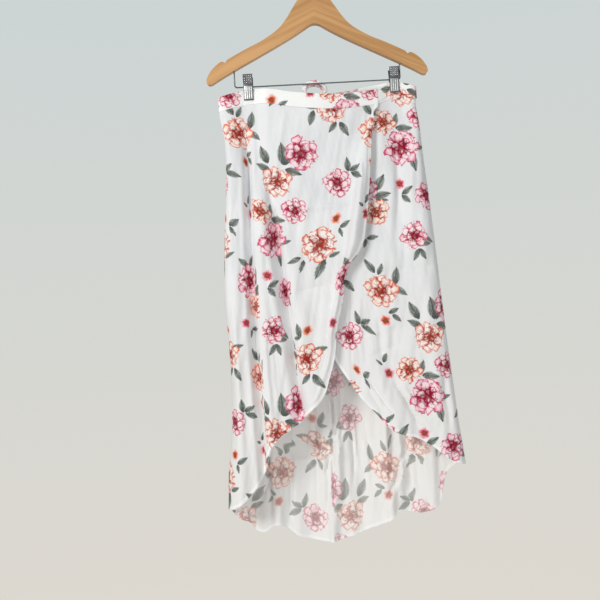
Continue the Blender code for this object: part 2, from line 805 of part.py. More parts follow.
def clip(side, clip_x, front_layers, back_layers, finish):
    """Two sheet metal jaws on the barrel of a spring, which is threaded on the bar."""
    half = JAW_WIDTH / 2
    for name, facing, layers in (("front", FRONT, front_layers), ("back", BACK, back_layers)):
        tip_depth = layers + SEAM_GAP
        columns = []
        for x in (clip_x - half, clip_x + half):
            columns.append([(x, y, -drop) for y, drop in jaw_profile(facing, tip_depth)])
        points = np.array(columns).transpose(1, 0, 2)
        sheet(f"clip_{side}_{name}_jaw", points, JAW_SHEET, finish)
    name = f"clip_{side}_barrel"
    bore = BAR_WIRE / 2 + SEAM_GAP
    end = BARREL_LENGTH / 2
    profile = [(BARREL_RADIUS, end), (BARREL_RADIUS, -end), (bore, -end), (bore, end)]
    mesh = bpy.data.meshes.new(name)
    mesh.from_pydata([(r * MM, 0, z * MM) for r, z in profile], [(0, 1), (1, 2), (2, 3), (3, 0)], [])
    barrel = add_object(name, mesh, finish)
    turn = barrel.modifiers.new("Turned", "SCREW")
    turn.steps = turn.render_steps = BARREL_SIDES
    turn.use_merge_vertices = True
    turn.merge_threshold = MERGE_DISTANCE
    barrel.rotation_euler = (0, math.radians(90), 0)
    barrel.location = (clip_x * MM, 0, -BAR_DROP * MM)


# ---- everything --------------------------------------------------------------------------------

for old in list(bpy.data.objects):
    bpy.data.objects.remove(old)

parts = bpy.data.collections.new("wrap_skirt_on_hanger")
cutters = bpy.data.collections.new("cutters")
bpy.context.scene.collection.children.link(parts)
bpy.context.scene.collection.children.link(cutters)

cloth = material("cloth", CLOTH_WHITE, 0.85)
wood_finish = material("wood", WOOD_COLOUR, 0.45)
chrome = material("chrome", STEEL_COLOUR, 0.2, 1.0)
dark_steel = material("dark_steel", BAR_COLOUR, 0.4, 1.0)

over_front(cloth)
under_front(cloth)
back(cloth)
waistband(cloth)
ties(cloth)
knot(cloth)
tie_loop(cloth)
tie_tails(cloth)

hanger_wood(wood_finish)
wire("hanger_hook", hook_route(), HOOK_WIRE, chrome)
wire("hanger_bar", bar_route(), BAR_WIRE, dark_steel)
one_layer = PINCH_DEPTH + BAND_WALL / 2
with_tie = one_layer + SEAM_GAP + TIE_WALL
clip("left", LEFT_CLIP_X, one_layer, with_tie, chrome)
clip("right", RIGHT_CLIP_X, with_tie, with_tie, chrome)
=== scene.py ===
"""Looks of the wrap skirt on its clip hanger, as a Blender add-on that runs as a script.

Frame: +Z up, the front of the skirt faces -Y, +X is to the right of someone looking at the front.
The origin is the inside of the top of the hanger's hook. Lengths in the tables are millimetres. A
drop is how far something lies below the origin, and a depth how far a layer of cloth stands out
from the plane y = 0, towards the front or the back. MM makes metres.
"""

import json
import math
from collections import namedtuple

import bmesh
import bpy
import numpy as np
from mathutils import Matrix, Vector

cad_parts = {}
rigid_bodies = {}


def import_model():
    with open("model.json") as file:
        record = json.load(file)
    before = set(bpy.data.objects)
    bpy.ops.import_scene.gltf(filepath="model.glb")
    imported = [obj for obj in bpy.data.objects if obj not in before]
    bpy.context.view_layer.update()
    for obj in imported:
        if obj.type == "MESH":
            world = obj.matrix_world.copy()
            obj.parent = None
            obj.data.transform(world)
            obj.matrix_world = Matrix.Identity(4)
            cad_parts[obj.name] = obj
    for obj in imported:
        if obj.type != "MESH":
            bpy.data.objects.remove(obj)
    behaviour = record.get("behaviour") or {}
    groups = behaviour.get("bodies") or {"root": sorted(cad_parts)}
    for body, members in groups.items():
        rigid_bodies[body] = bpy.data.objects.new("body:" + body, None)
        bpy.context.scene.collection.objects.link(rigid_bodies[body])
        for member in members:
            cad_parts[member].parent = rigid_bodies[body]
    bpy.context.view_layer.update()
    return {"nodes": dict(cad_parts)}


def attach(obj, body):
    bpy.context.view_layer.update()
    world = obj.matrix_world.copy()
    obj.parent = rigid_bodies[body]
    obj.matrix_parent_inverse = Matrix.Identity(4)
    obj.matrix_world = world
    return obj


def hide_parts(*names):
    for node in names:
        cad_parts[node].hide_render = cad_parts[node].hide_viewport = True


bl_info = {
    "name": "Wrap Skirt on a Clip Hanger",
    "version": (1, 0, 0),
    "blender": (4, 5, 0),
    "location": "View3D > Sidebar > Skirt",
    "description": "Sews a printed wrap skirt and hangs it on a wooden clip hanger",
    "category": "Add Mesh",
}

for old in list(bpy.data.objects):
    bpy.data.objects.remove(old)

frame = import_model()

MM = 0.001
FRONT, BACK = -1, 1


def listed(kind, *rows):
    """Rows of one kind, from plain tuples."""
    return tuple(kind(*row) for row in rows)


Point = namedtuple("Point", "x drop")
Bend = namedtuple("Bend", "out drop")

SEAM_GAP = 0.3

# Walls of the solids. The waistband and the ties are two layers, folded and pressed.
BAND_WALL = 1.8
TIE_WALL = 1.2
BAND_HEIGHT = 30.0
TIE_WIDTH = 22.0

# Wooden hanger and its bar
HANGER_WIDTH = 445.0
BAR_DROP = 242.0

# Clips
LEFT_CLIP_X = -141.5
RIGHT_CLIP_X = 156.5
CLIPS_MIDDLE = (LEFT_CLIP_X + RIGHT_CLIP_X) / 2
CLIPS_APART = RIGHT_CLIP_X - LEFT_CLIP_X
JAW_WIDTH = 19.5
JAW_SHEET = 1.2
JAW_TOP = 219.0
JAW_TIP = 270.0
HANDLE_SPREAD = 12.0
BARREL_RADIUS = 4.0
BARREL_LENGTH = 14.0
# A jaw's bends down its handle
HANDLE_BENDS = listed(
    Bend,
    (HANDLE_SPREAD, JAW_TOP), (10.6, 222.5), (9.0, 227.0), (7.5, 231.0), (5.9, 235.0),
    (4.9, 239.0), (4.9, 246.0),
)
# How far out the left and right clips' tips stand, in front and behind
CLIP_TIPS = {"left": (2.85, 4.35), "right": (4.35, 4.35)}
METAL_BEVEL, BEVEL_ANGLE = 0.3, math.radians(40)
STRIP_START = 0.4
RIB_PLACES = (-6.3, -2.1, 2.1, 6.3)
RIB_PITCH = 4.2
RIB_WIDTH, RIB_RISE = 1.5, 0.55
RIB_TOP, RIB_FOOT, RIB_BENDS = 243.5, 266.5, 9
BUMP_TOP = 222.6
BUMP_ROWS, BUMP_COLUMNS = 4, 4
BUMP_STEP, BUMP_REACH, BUMP_RADIUS = 3.9, 6.6, 1.25
TEETH = 8
TOOTH_INSET, TOOTH_LIFT = 1.2, 1.6
TOOTH_SIZE = Vector((1.3, 0.7, 3.0))
SPRING_COILS = 7
COIL_STEPS, WIRE_STEPS = 28, 8

# Where the clips press the layers together, and how far that pinch reaches
PINCH_DEPTH = SEAM_GAP / 2 + BAND_WALL / 2
PINCH_SIDE_FADE = 30.0
PINCH_END = 480.0
SIDE_REACH_TOP = 14.0
SIDE_REACH_HEM = 24.0

# Between the clips the front of the waistband stands away from the back one
SAG_X = 8.0
SAG_DEPTH = 11.0
SAG_SPREAD = 78.0
SAG_END = 420.0

# The overlap: the over front ends at OVER_END_X on the waistband, the under front at UNDER_END_X
OVER_END_X = 120.5
UNDER_END_X = -113.0
LAYER_STEP = BAND_WALL + SEAM_GAP

Section = namedtuple("Section", "drop left right front back")
SECTIONS = listed(
    Section,
    (245, -203, 198, 6, 4), (300, -203, 198, 9, 5), (340, -197, 203, 14, 8),
    (400, -195, 207, 19, 11), (470, -199, 213, 23, 14), (560, -206, 220, 26, 17),
    (660, -211, 227, 29, 20), (760, -208, 234, 32, 23), (850, -207, 242, 34, 26),
    (940, -211, 250, 36, 28), (1030, -222, 260, 37, 30), (1190, -229, 262, 37, 31),
)
LEFT_X, RIGHT_X = SECTIONS[0].left, SECTIONS[0].right

BandTop = namedtuple("BandTop", "x front back")
BAND_TOPS = listed(
    BandTop,
    (-204, 262, 262), (-183, 257, 258), (-141, 248, 248), (-100, 250, 252), (-55, 260, 259),
    (0, 268, 263), (45, 270, 261), (90, 266, 254), (121, 262, 250), (156, 249, 248),
    (197, 266, 259),
)

FREE_EDGE_TOP = 292
OVER_FREE_EDGE = listed(
    Point,
    (110, 323), (104, 349), (96, 418), (87, 494), (81, 535), (73, 573), (58, 600), (37, 625),
    (27, 685), (12, 741), (3, 805), (-9, 843), (-18, 870), (-32, 890),
)
OVER_HEM = listed(
    Point,
    (-194, 1081), (-169, 1057), (-153, 1037), (-141, 1010), (-136, 985), (-113, 953), (-92, 940),
    (-72, 928), (-50, 905),
)
UNDER_FREE_EDGE = listed(
    Point,
    (-98, 400), (-80, 500), (-52, 600), (-25, 700), (-8, 760), (5, 806), (25, 839),
)
UNDER_HEM = listed(
    Point,
    (52, 883), (79, 914), (109, 948), (131, 960), (156, 967), (191, 987), (223, 1013),
)
BACK_HEM = listed(
    Point,
    (-210, 1130), (-189, 1141), (-172, 1162), (-158, 1163), (-128, 1146), (-81, 1177), (-29, 1188),
    (34, 1178), (62, 1168), (102, 1152), (127, 1134), (163, 1139), (191, 1134), (213, 1117),
    (220, 1085), (231, 1055),
)

# A fold runs down a curved line from its top to its end. It rises by so much (or sinks, where that
# is negative) and dies out to each side over its own width. One that fades is gone at its end.
Fold = namedtuple("Fold", "top top_x mid_x end end_x rise left right fades", defaults=(True,))
FRONT_FOLDS = listed(
    Fold,
    (285, -147, -155, 1000, -149, -15, 15, 13, False),
    (330, -126, -131, 990, -128, 7, 12, 26, False), (440, -112, -84, 930, -66, -9, 34, 16, False),
    (480, -86, -62, 905, -42, 5, 18, 30, False), (560, -186, -188, 1090, -196, 5, 14, 22, False),
)
UNDER_FOLDS = listed(
    Fold,
    (300, 160, 150, 720, 139, -7, 18, 26), (380, 192, 196, 1010, 214, 5, 24, 16, False),
    (800, 112, 138, 970, 176, -6, 26, 16, False), (700, 66, 92, 980, 130, 4, 24, 20, False),
)
BACK_FOLDS = listed(
    Fold,
    (300, -146, -158, 1170, -174, 8, 26, 20, False),
    (560, -150, -138, 1150, -128, -13, 18, 22, False), (480, -80, -66, 1190, -58, 8, 30, 32, False),
    (620, -12, -2, 1185, -16, -12, 12, 20, False), (520, 40, 44, 1180, 52, 8, 26, 30, False),
    (640, 96, 102, 1155, 110, -12, 20, 16, False), (300, 162, 158, 1140, 150, 9, 26, 22, False),
    (760, 196, 200, 1130, 196, -8, 16, 18, False),
)
FOLD_GROWTH = 130.0
CREASE_GROWTH_SHARE = 0.42

# The strip along the over front's free edge rolls out, away from the under front. From its inner
# line it rises steeply to a crest, and then falls a little to the edge.
Roll = namedtuple("Roll", "drop width lift")
FREE_EDGE_ROLL = listed(
    Roll,
    (300, 12, 0), (349, 18, 7), (431, 28, 17), (507, 36, 24), (573, 37, 23), (617, 20, 17),
    (700, 20, 14), (772, 18, 11), (840, 22, 7), (895, 20, 0),
)
ROLL_CREST = 0.4
ROLL_FALL = 0.6

# How much further in than its layer the under front lies, down the skirt
Ease = namedtuple("Ease", "drop inward")
UNDER_EASE = listed(Ease, (290, 1), (340, 4), (600, 6), (900, 7))
EASE_FADE_TOP = 25.0
EASE_FADE_GROWTH = 0.3

# The wood's outline is this many steps long. Its sides are flat over WOOD_FLAT, and its edges are
# rounded by insets, each so far in and so far out.
WOOD_STEPS = 360
WOOD_FLAT = 6.0
WOOD_EDGE_STEPS = ((0.3, 1.2), (0.6, 1.0), (1.0, 0.6), (1.4, 0.2))
# The outline of the right half, from the middle of the top to the inner apex
WOOD_OUTLINE = listed(
    Point,
    (0, 58), (7, 58.5), (13, 60), (24, 67), (33, 78), (43, 93), (55, 111), (72, 130), (105, 152),
    (140, 168.5), (170, 183.5), (176, 186.7), (180, 189), (183, 193.4), (185.5, 195),
    (188.5, 194.9), (190.5, 192.8), (193, 192.6), (198, 195.4), (203, 199), (209, 204.4),
    (214, 210), (218, 216), (221, 221.5), (HANGER_WIDTH / 2, 226), (222, 229.6), (219.8, 231.8),
    (216, 231.2), (210, 228), (201, 222.6), (190, 216.6), (168, 205), (120, 180.5), (77, 158.5),
    (42, 139.5), (20, 126), (12, 121), (5, 118.6), (0, 118),
)

# The bow at the back of the waistband
KNOT_X = -4.0
KNOT_HALF_WIDTH = 9.0
KNOT_HALF_HEIGHT = 11.0
KNOT_THICKNESS = 9.0
KNOT_CLEARANCE = 0.6
# How much the knot's ends and corners are rounded, and how square its section is
KNOT_END_LOSS, KNOT_SIDE_ROUND, KNOT_SQUARENESS = 0.35, 0.12, 0.7
# Its pleats: how deep, how close together, and how far they wander as they go round
PLEAT_RISE, PLEAT_TURNS, PLEAT_WANDER = 0.05, 9, 2
# The shares of the solid knot's depth and height that the cloth one has
KNOT_DEPTH_SHARE, KNOT_HEIGHT_SHARE = 0.96, 0.98
TIE_LOOP_ROUTE = listed(
    Point,
    (-10, 264), (-23, 260), (-31, 250), (-27, 239), (-16, 234.5), (-2, 233.5), (9, 238), (19, 248),
    (18, 258), (2, 264),
)
# Across the loop's ribbon: how far back it lies, and how far out from the route
LoopSection = namedtuple("LoopSection", "back out")
TIE_LOOP_SECTION = listed(
    LoopSection,
    (19, -10), (14, -4), (9, 0), (6.5, -1.5), (5.5, -6.5),
)
LOOP_LEAN = 3.0
LOOP_FOOT_BACK = 13.0
LOOP_FOOT_NARROWING = 0.3

# The middle line of the over front's tie, from the end of its waistband round the right side
TIE_ROUTE = listed(
    Point,
    (OVER_END_X, 277), (141, 265), (156, 259), (180, 264), (200, 272),
)
TIE_HEIGHT_ON_BAND = 0.47
TIE_OFFSET = BAND_WALL / 2 + SEAM_GAP + TIE_WALL / 2
# The bow's free ends. The print on each starts that far along the repeat.
Tail = namedtuple("Tail", "name solid start_x end_x length print_start")
TIE_TAILS = listed(
    Tail,
    ("left_tail_cloth", "tie_tail_left", -15.5, -31, 250, 90),
    ("right_tail_cloth", "tie_tail_right", 7.5, 24, 225, 230),
)
TAIL_WIDTH = 21.0
TAIL_SLANT = 6.0
TAIL_LIFT = 0.9
TAIL_LIFT_END = 1 / 8
# A free end lies on the creases that it crosses, less this
TAIL_SINK = 0.8
# How far beyond the side of the waist a tie turns round it
TIE_ROUND = 0.7
# How much of the tie the loop takes
LOOP_LENGTH = 105
# Where in the repeat the print on each tie starts
RIGHT_TIE_PRINT, LEFT_TIE_PRINT, LOOP_PRINT, TAIL_PRINT_DOWN = (-47, -37), (200, 300), (71, 12), 60

# ---- finer tables for the cloth ----------------------------------------------------------------

# Walls of the sewn cloth, and its narrow rolled hem
CLOTH_WALL = 0.7
HEM_WALL = 1.7
HEM_WIDTH = 5.0
HEM_STEP = 1.2
BAND_CLOTH_WALL = 1.7
# The share of its wall that a waistband loses at its pressed edges, and how near them it does
BAND_PRESS, BAND_PRESS_SHARPNESS = 0.45, 10
TIE_CLOTH_WALL = 1.1
# How much thicker than one layer a wall is before it looks like two
DOUBLED_STEP = 0.3
# A panel is sewn in under its waistband's lower edge: how deep, and over what length it comes out
SEAM_TUCK = 0.9
SEAM_TUCK_REACH = 2.6
# The share of it that is missing where a clip presses front and back together
HELD_TUCK_LOSS = 0.27

# A grid has closer lines at these shares of the way in from its edges
EDGE_STEPS = (0.0008, 0.0025, 0.006, 0.011, 0.018, 0.027)
HEM_STEPS_ACROSS = (0.003, 0.011, 0.0145, 0.018, 0.026)
HEM_STEPS_DOWN = (0.0014, 0.0045, 0.0062, 0.0082, 0.012)
TOP_STEPS = (0.002, 0.005)
SMALLEST_STEP = 0.0006
# Edges that turn more sharply than this don't look smooth
CLOTH_SHARP, METAL_SHARP, WOOD_SHARP = math.radians(60), math.radians(35), math.radians(30)
# How many points a tie has along its front and back, and where it turns at the right and left side
TIE_FRONT_STEPS, TIE_BACK_STEPS = 40, 80
RIGHT_TURN_STEPS, LEFT_TURN_STEPS = 14, 12

# Creases are short folds on top of the broad ones. Each dies out at both of its ends.
OVER_CREASES = listed(
    Fold,
    (276, -147, -151, 560, -153, -5.5, 10, 8), (280, -132, -140, 540, -142, 4, 8, 12),
    (340, -168, -172, 780, -176, -2.6, 10, 12), (420, -24, -58, 640, -88, -1.5, 16, 20),
    (330, 30, -10, 560, -66, 1.4, 22, 16), (290, -142, -151, 1010, -147, -5.5, 16, 6),
    (320, -134, -141, 1000, -139, 2.2, 9, 8), (415, -113, -85, 955, -63, -12, 12, 9),
    (430, -132, -105, 940, -83, 5.0, 14, 12), (500, -94, -78, 880, -60, 2.4, 10, 12),
    (560, -120, -110, 900, -104, 3.0, 9, 14), (700, -128, -124, 960, -118, -2.4, 7, 9),
    (300, -176, -180, 640, -190, -1.6, 9, 12), (620, -186, -180, 1060, -178, -3.0, 10, 14),
    (300, 60, 20, 520, -30, 1.4, 26, 16), (296, 92, 58, 470, 22, -1.4, 18, 12),
    (320, -40, -44, 700, -30, 1.2, 22, 30), (600, -4, -14, 860, -30, 1.8, 14, 18),
    (700, -40, -42, 900, -48, -1.6, 10, 12), (300, 99, 86, 470, 78, -1.9, 4, 4),
    (360, 92, 84, 560, 66, 1.2, 5, 4), (640, 14, 2, 800, -6, 1.4, 5, 5),
)
UNDER_CREASES = listed(
    Fold,
    (276, 156, 152, 560, 148, -5.6, 9, 10), (280, 170, 166, 520, 160, 3.8, 8, 12),
    (480, 130, 122, 820, 116, -2, 14, 18), (880, 150, 176, 1000, 190, -2.8, 9, 7),
    (300, 166, 160, 700, 152, -2.8, 10, 16), (310, 184, 176, 620, 170, 2.5, 9, 12),
    (420, 96, 86, 640, 62, -3.5, 8, 12), (640, 46, 40, 850, 36, -4.2, 5, 6),
    (660, 62, 58, 840, 62, 2.6, 7, 8), (700, 92, 98, 830, 96, -2.5, 8, 8),
    (690, 118, 112, 820, 112, 2.1, 8, 9), (838, 114, 146, 974, 178, -5.0, 9, 5),
    (840, 115, 147, 972, 179, -4.6, 3.2, 3.2), (846, 128, 160, 966, 190, 4.6, 6, 8),
    (830, 60, 90, 930, 122, -4.2, 6, 7), (760, 214, 222, 1000, 232, -3.1, 8, 12),
    (560, 204, 208, 900, 222, 2.1, 10, 10), (860, 60, 84, 930, 100, -2.1, 8, 8),
)
BACK_CREASES = listed(
    Fold,
    (820, -4, -8, 1184, -14, -11.2, 5, 7), (840, 8, 6, 1180, 4, 5.5, 8, 7),
    (860, -46, -40, 1180, -50, -6.5, 8, 9), (880, -24, -26, 1150, -32, 4.5, 8, 8),
    (900, 30, 36, 1120, 26, -5.5, 6, 8), (860, 48, 40, 1060, 48, 5, 8, 6),
    (930, 60, 72, 1110, 74, -6.1, 7, 8), (960, 84, 92, 1150, 88, 4.5, 8, 8),
    (900, 116, 112, 1140, 104, -8.1, 8, 7), (940, 132, 136, 1130, 130, 6.1, 9, 8),
    (940, 172, 168, 1130, 172, -6.5, 8, 9), (960, 188, 186, 1110, 190, 5, 7, 6),
    (960, -94, -98, 1170, -104, -7.5, 8, 9), (980, -120, -118, 1140, -122, 6.1, 8, 9),
    (960, -146, -142, 1150, -140, -6.5, 8, 7), (1000, -176, -178, 1160, -180, -5, 8, 8),
    (955, 160, 126, 1150, 84, -8.0, 8, 5), (970, 172, 138, 1140, 98, 4.6, 8, 8),
    (980, -114, -146, 1140, -178, -7.0, 8, 6), (850, 22, 2, 1080, -36, -7.5, 6, 6),
    (880, 34, 14, 1070, -20, 4.0, 6, 8), (300, -60, -66, 800, -62, 3, 24, 30),
    (300, 44, 40, 760, 48, -3.4, 26, 30), (340, 120, 126, 820, 122, 2.8, 22, 26),
    (420, -110, -114, 860, -108, -3, 20, 22),
)

# Creases from lying folded, which run level across a panel and fade over a quarter at each end
PRESS_ENDS = 4
Press = namedtuple("Press", "left_drop right_drop left right rise width")
OVER_PRESSES = listed(
    Press,
    (502, 496, -86, 66, 5.5, 9), (664, 652, -70, 26, -5.5, 9), (352, 346, -90, 60, 1.3, 12),
    (780, 772, -200, -90, 1.7, 8),
)
UNDER_PRESSES = listed(
    Press,
    (636, 628, 100, 224, -4.5, 9), (930, 920, 170, 250, 2.7, 7), (470, 466, 110, 205, 1.5, 9),
    (774, 730, 58, 146, 3.4, 7), (804, 778, 70, 140, -3.0, 7), (690, 712, 150, 232, 2.4, 8),
)
BACK_PRESSES = listed(
    Press,
    (1014, 1020, -110, -10, 2.9, 8), (986, 980, 20, 150, -2.5, 9), (640, 640, -190, 200, 2.1, 10),
    (800, 806, -190, 210, -2, 10),
)

# Slow unevenness of the cloth: how high, over what length across and down, and where it starts.
# It bends by RIPPLE_WARP of its own turn, and each panel has its own start.
Ripple = namedtuple("Ripple", "rise across down start")
RIPPLES = listed(
    Ripple,
    (0.68, 61, 240, 0.4), (0.57, 37, 170, 2.1), (0.32, 23, 118, 4.0), (0.46, -83, 97, 1.3),
    (0.17, 15, 74, 5.2), (0.11, -11, 52, 0.9),
)
RIPPLE_WARP = 0.37
OVER_START, UNDER_START, BACK_START = 0.0, 1.7, 3.1

# Folds hide some of the print. Beyond such a line, away from where the grain is set, each Tuck says
# how much is hidden there and how far the print has slipped up, at a drop.
Tuck = namedtuple("Tuck", "drop hidden slip")
FOLD_ONE_LINE = listed(
    Point,
    (-150, 340), (-151, 500), (-145, 600), (-139, 690), (-141, 835), (-144, 960),
)
FOLD_ONE_TUCK = listed(
    Tuck,
    (340, 6, 0), (500, 16, 0), (632, 26, -8), (690, 28, -10), (835, 47, 8), (960, 56, 24),
    (1040, 60, 30),
)
FOLD_TWO_LINE = listed(
    Point,
    (-112, 440), (-91, 559), (-83, 641), (-79, 721), (-75, 782), (-72, 842), (-66, 882), (-59, 913),
)
FOLD_TWO_TUCK = listed(
    Tuck,
    (440, 0, 0), (569, -8, 0), (640, 4, 0), (794, 28, 0), (930, 44, 0),
)
UNDER_SLIP_LINE = listed(Point, (74, 600), (81, 720), (88, 860))
UNDER_SLIP = listed(Tuck, (560, 0, 0), (700, 2, 16), (760, 4, 20), (840, 5, 24))
BACK_FOLD_LINE = listed(Point, (-4, 960), (-10, 1060), (-15, 1180))
BACK_TUCK = listed(Tuck, (860, 0, 0), (960, 26, 0), (1150, 38, 0))
TUCK_WIDTH = 4.0
SLIP_WIDTH = 60.0
# The most print that shows to each side of a face's middle, so that it jumps at a fold and isn't
# squeezed into it
FACE_REACH = 3.6

# ---- the printed repeat ------------------------------------------------------------------------

# The cloth's print repeats every TILE_WIDTH by TILE_HEIGHT. Places in it run right and down.
TILE_WIDTH = 290.0
TILE_HEIGHT = 503.0
Bloom = namedtuple("Bloom", "across down radius pink open turn")
BLOOMS = listed(
    Bloom,
    (0, 0, 29, 0, 1, 0.2), (-47, 61, 25, 0, 0, 1.4), (94, 127, 34, 0, 1, 2.6),
    (114, -151, 29, 0, 0.6, 3.9), (-86, -100, 32, 0, 0.3, 5.1), (-84, 243, 26, 0, 0, 0.9),
    (51, -57, 33, 1, 0.2, 0.5), (33, 59, 25, 1, 0.5, 1.9), (-16, 117, 35, 1, 0.2, 3.0),
    (123, 2, 27, 1, 0.5, 4.2), (29, 221, 27, 1, 0.1, 5.5), (-8, 298, 26, 1, 0.5, 2.3),
    (-110, 194, 29, 1, 0.3, 1.1),
)
Blossom = namedtuple("Blossom", "across down pink")
BLOSSOMS = listed(
    Blossom,
    (123, 74, 0), (112, 296, 0), (-84, -41, 0.15), (-29, 190, 0.8), (-88, 65, 0.8),
    (-123, 280, 0.9), (-1, -197, 0.05),
)
BLOSSOM_RADIUS = 14.0
Leaf = namedtuple("Leaf", "base_across base_down tip_across tip_down")
LEAVES = listed(
    Leaf,
    (-16, -37, -33, -72), (-12, -22, -39, -37), (16, -33, 10, -78), (18, -33, 33, -69),
    (18, -25, 51, -14), (-25, 72, -16, 45), (-22, 74, 12, 80), (4, 133, 10, 168),
    (16, 125, 35, 119), (147, -20, 143, -49), (149, -22, 172, -35), (151, -20, 180, -8),
    (133, 92, 155, 78), (133, 92, 139, 110), (61, 153, 37, 164), (69, 157, 69, 182),
    (114, 155, 104, 194), (119, 151, 139, 141), (82, -166, 61, -184), (90, -153, 51, -159),
    (76, -145, 69, -114), (123, -121, 108, -100), (129, -121, 147, -94), (127, -166, 153, -174),
    (-96, -137, -114, -164), (-90, -133, -80, -155), (-57, -110, -51, -145), (-57, -106, -35, -88),
    (-76, -55, -55, -63), (-69, -53, -53, -37), (-98, 45, -88, 25), (-100, 51, -114, 45),
    (-27, 213, -2, 200), (-27, 213, -8, 231), (-86, 200, -63, 170), (-88, 211, -55, 208),
    (-86, 215, -61, 221), (-112, 168, -135, 153), (-106, 166, -96, 145), (35, 225, 33, 200),
    (37, 227, 59, 223), (37, 229, 61, 247), (-6, 313, 25, 317), (0, 325, -14, 347),
    (0, 325, 10, 347), (100, 311, 84, 284), (100, 311, 80, 313), (-106, 294, -82, 292),
    (-106, 294, -114, 313), (12, -200, 30, -188),
)
LEAF_HALF_WIDTH = 0.24
LEAF_STRETCH = 1.08

# Where the tile's middle lies on each panel, and how far the grain leans to the right going down
Grain = namedtuple("Grain", "x drop lean side")
OVER_GRAIN = Grain(-94.6, 442, math.radians(-3.0), 1)
UNDER_GRAIN = Grain(193.7, 769, math.radians(2.8), 1)
BACK_GRAIN = Grain(26, 1138, 0.0, -1)
BAND_GRAIN = Grain(-214, 200, 0.0, 1)


# ---- curves and tables -------------------------------------------------------------------------


def column(rows, name):
    """One named column of a table."""
    return np.array([getattr(row, name) for row in rows], float)


def curve(at, knots, values):
    """A smooth line through the values at rising knots, level past its ends."""
    steps = np.diff(knots)
    slopes = np.diff(values) / steps
    tangents = np.concatenate([slopes[:1], (slopes[:-1] + slopes[1:]) / 2, slopes[-1:]])
    at = np.clip(at, knots[0], knots[-1])
    span = np.clip(np.searchsorted(knots, at, side="right") - 1, 0, len(steps) - 1)
    step = steps[span]
    t = (at - knots[span]) / step
    start = (1 + 2 * t) * (1 - t) ** 2 * values[span] + t * (1 - t) ** 2 * step * tangents[span]
    end = t**2 * (3 - 2 * t) * values[span + 1] + t**2 * (t - 1) * step * tangents[span + 1]
    return start + end


def read(rows, key, name, at):
    """A table's column as a smooth function of another of its columns."""
    return curve(at, column(rows, key), column(rows, name))


def ease(t):
    """0 up to t = 0, 1 from t = 1, and smooth between."""
    t = np.clip(t, 0, 1)
    return t * t * (3 - 2 * t)


def along(points, shares):
    """Places at these shares of the length of a smooth line through x and drop pairs."""
    points = np.array(points, float)
    lengths = np.concatenate([[0], np.cumsum(np.hypot(*np.diff(points, axis=0).T))])
    at = shares * lengths[-1]
    return np.stack([curve(at, lengths, points[:, 0]), curve(at, lengths, points[:, 1])], axis=-1)


# ---- the depth of each layer of cloth ----------------------------------------------------------


def side_x(side, drop):
    """Where the skirt's left or right side edge lies."""
    return read(SECTIONS, "drop", side, drop)


def openness(x, drop):
    """0 where a clip presses the layers together, rising to 1 away from the clips."""
    held = 0.0
    for clip_x in (LEFT_CLIP_X, RIGHT_CLIP_X):
        held = held + 1 - ease((np.abs(x - clip_x) - JAW_WIDTH / 2) / PINCH_SIDE_FADE)
    return 1 - held * (1 - ease((drop - JAW_TIP) / (PINCH_END - JAW_TIP)))


def side_round(x, drop):
    """0 at a side edge, and 1 a short reach in from it, along a quarter of an ellipse."""
    share = (drop - SECTIONS[0].drop) / (SECTIONS[-1].drop - SECTIONS[0].drop)
    reach = SIDE_REACH_TOP + (SIDE_REACH_HEM - SIDE_REACH_TOP) * np.clip(share, 0, 1)
    inset = np.minimum(x - side_x("left", drop), side_x("right", drop) - x)
    return np.sqrt(1 - (1 - np.clip(inset / reach, 0, 1)) ** 2)


def fold_shape(fold, x, drop):
    """A fold's section at these places: 1 on its line, and 0 from its width on."""
    knots = np.array([fold.top, (fold.top + fold.end) / 2, fold.end], float)
    line = curve(drop, knots, np.array([fold.top_x, fold.mid_x, fold.end_x], float))
    aside = np.where(x < line, (line - x) / fold.left, (x - line) / fold.right)
    return (1 + np.cos(np.pi * np.clip(aside, 0, 1))) / 2


def folds(table, x, drop):
    """The sum of a table's folds at these places."""
    total = 0.0
    for fold in table:
        growth = ease((drop - fold.top) / FOLD_GROWTH)
        if fold.fades:
            growth = growth * ease((fold.end - drop) / FOLD_GROWTH)
        total = total + fold.rise * growth * fold_shape(fold, x, drop)
    return total


def sag(x, drop):
    """How much further out the front stands between the clips."""
    across = np.exp(-(((x - SAG_X) / SAG_SPREAD) ** 2))
    return SAG_DEPTH * across * (1 - ease((drop - JAW_TIP) / (SAG_END - JAW_TIP)))


def front_form(x, drop, table):
    """The depth that the front layers share, with this table's folds on it."""
    body = (read(SECTIONS, "drop", "front", drop) + sag(x, drop)) * side_round(x, drop)
    return PINCH_DEPTH + openness(x, drop) * (body + folds(table, x, drop))


def free_edge_x(drop):
    """Where the over front's free edge lies."""
    rows = (Point(OVER_END_X, FREE_EDGE_TOP),) + OVER_FREE_EDGE
    return read(rows, "drop", "x", drop)


def roll(x, drop):
    """How far the strip along the free edge rolls out."""
    share = 1 - (free_edge_x(drop) - x) / read(FREE_EDGE_ROLL, "drop", "width", drop)
    fall = ROLL_FALL * ease((share - ROLL_CREST) / (1 - ROLL_CREST))
    return read(FREE_EDGE_ROLL, "drop", "lift", drop) * ease(share / ROLL_CREST) * (1 - fall)


def over_depth(x, drop):
    return front_form(x, drop, FRONT_FOLDS) + roll(x, drop)


def under_depth(x, drop):
    below_clips = ease((drop - JAW_TIP) / BAND_HEIGHT)
    inward = LAYER_STEP + read(UNDER_EASE, "drop", "inward", drop) * below_clips
    fade = EASE_FADE_TOP + EASE_FADE_GROWTH * (drop - SECTIONS[1].drop)
    covered = 1 - ease((x - free_edge_x(drop)) / np.maximum(fade, EASE_FADE_TOP))
    return front_form(x, drop, UNDER_FOLDS) - inward * covered


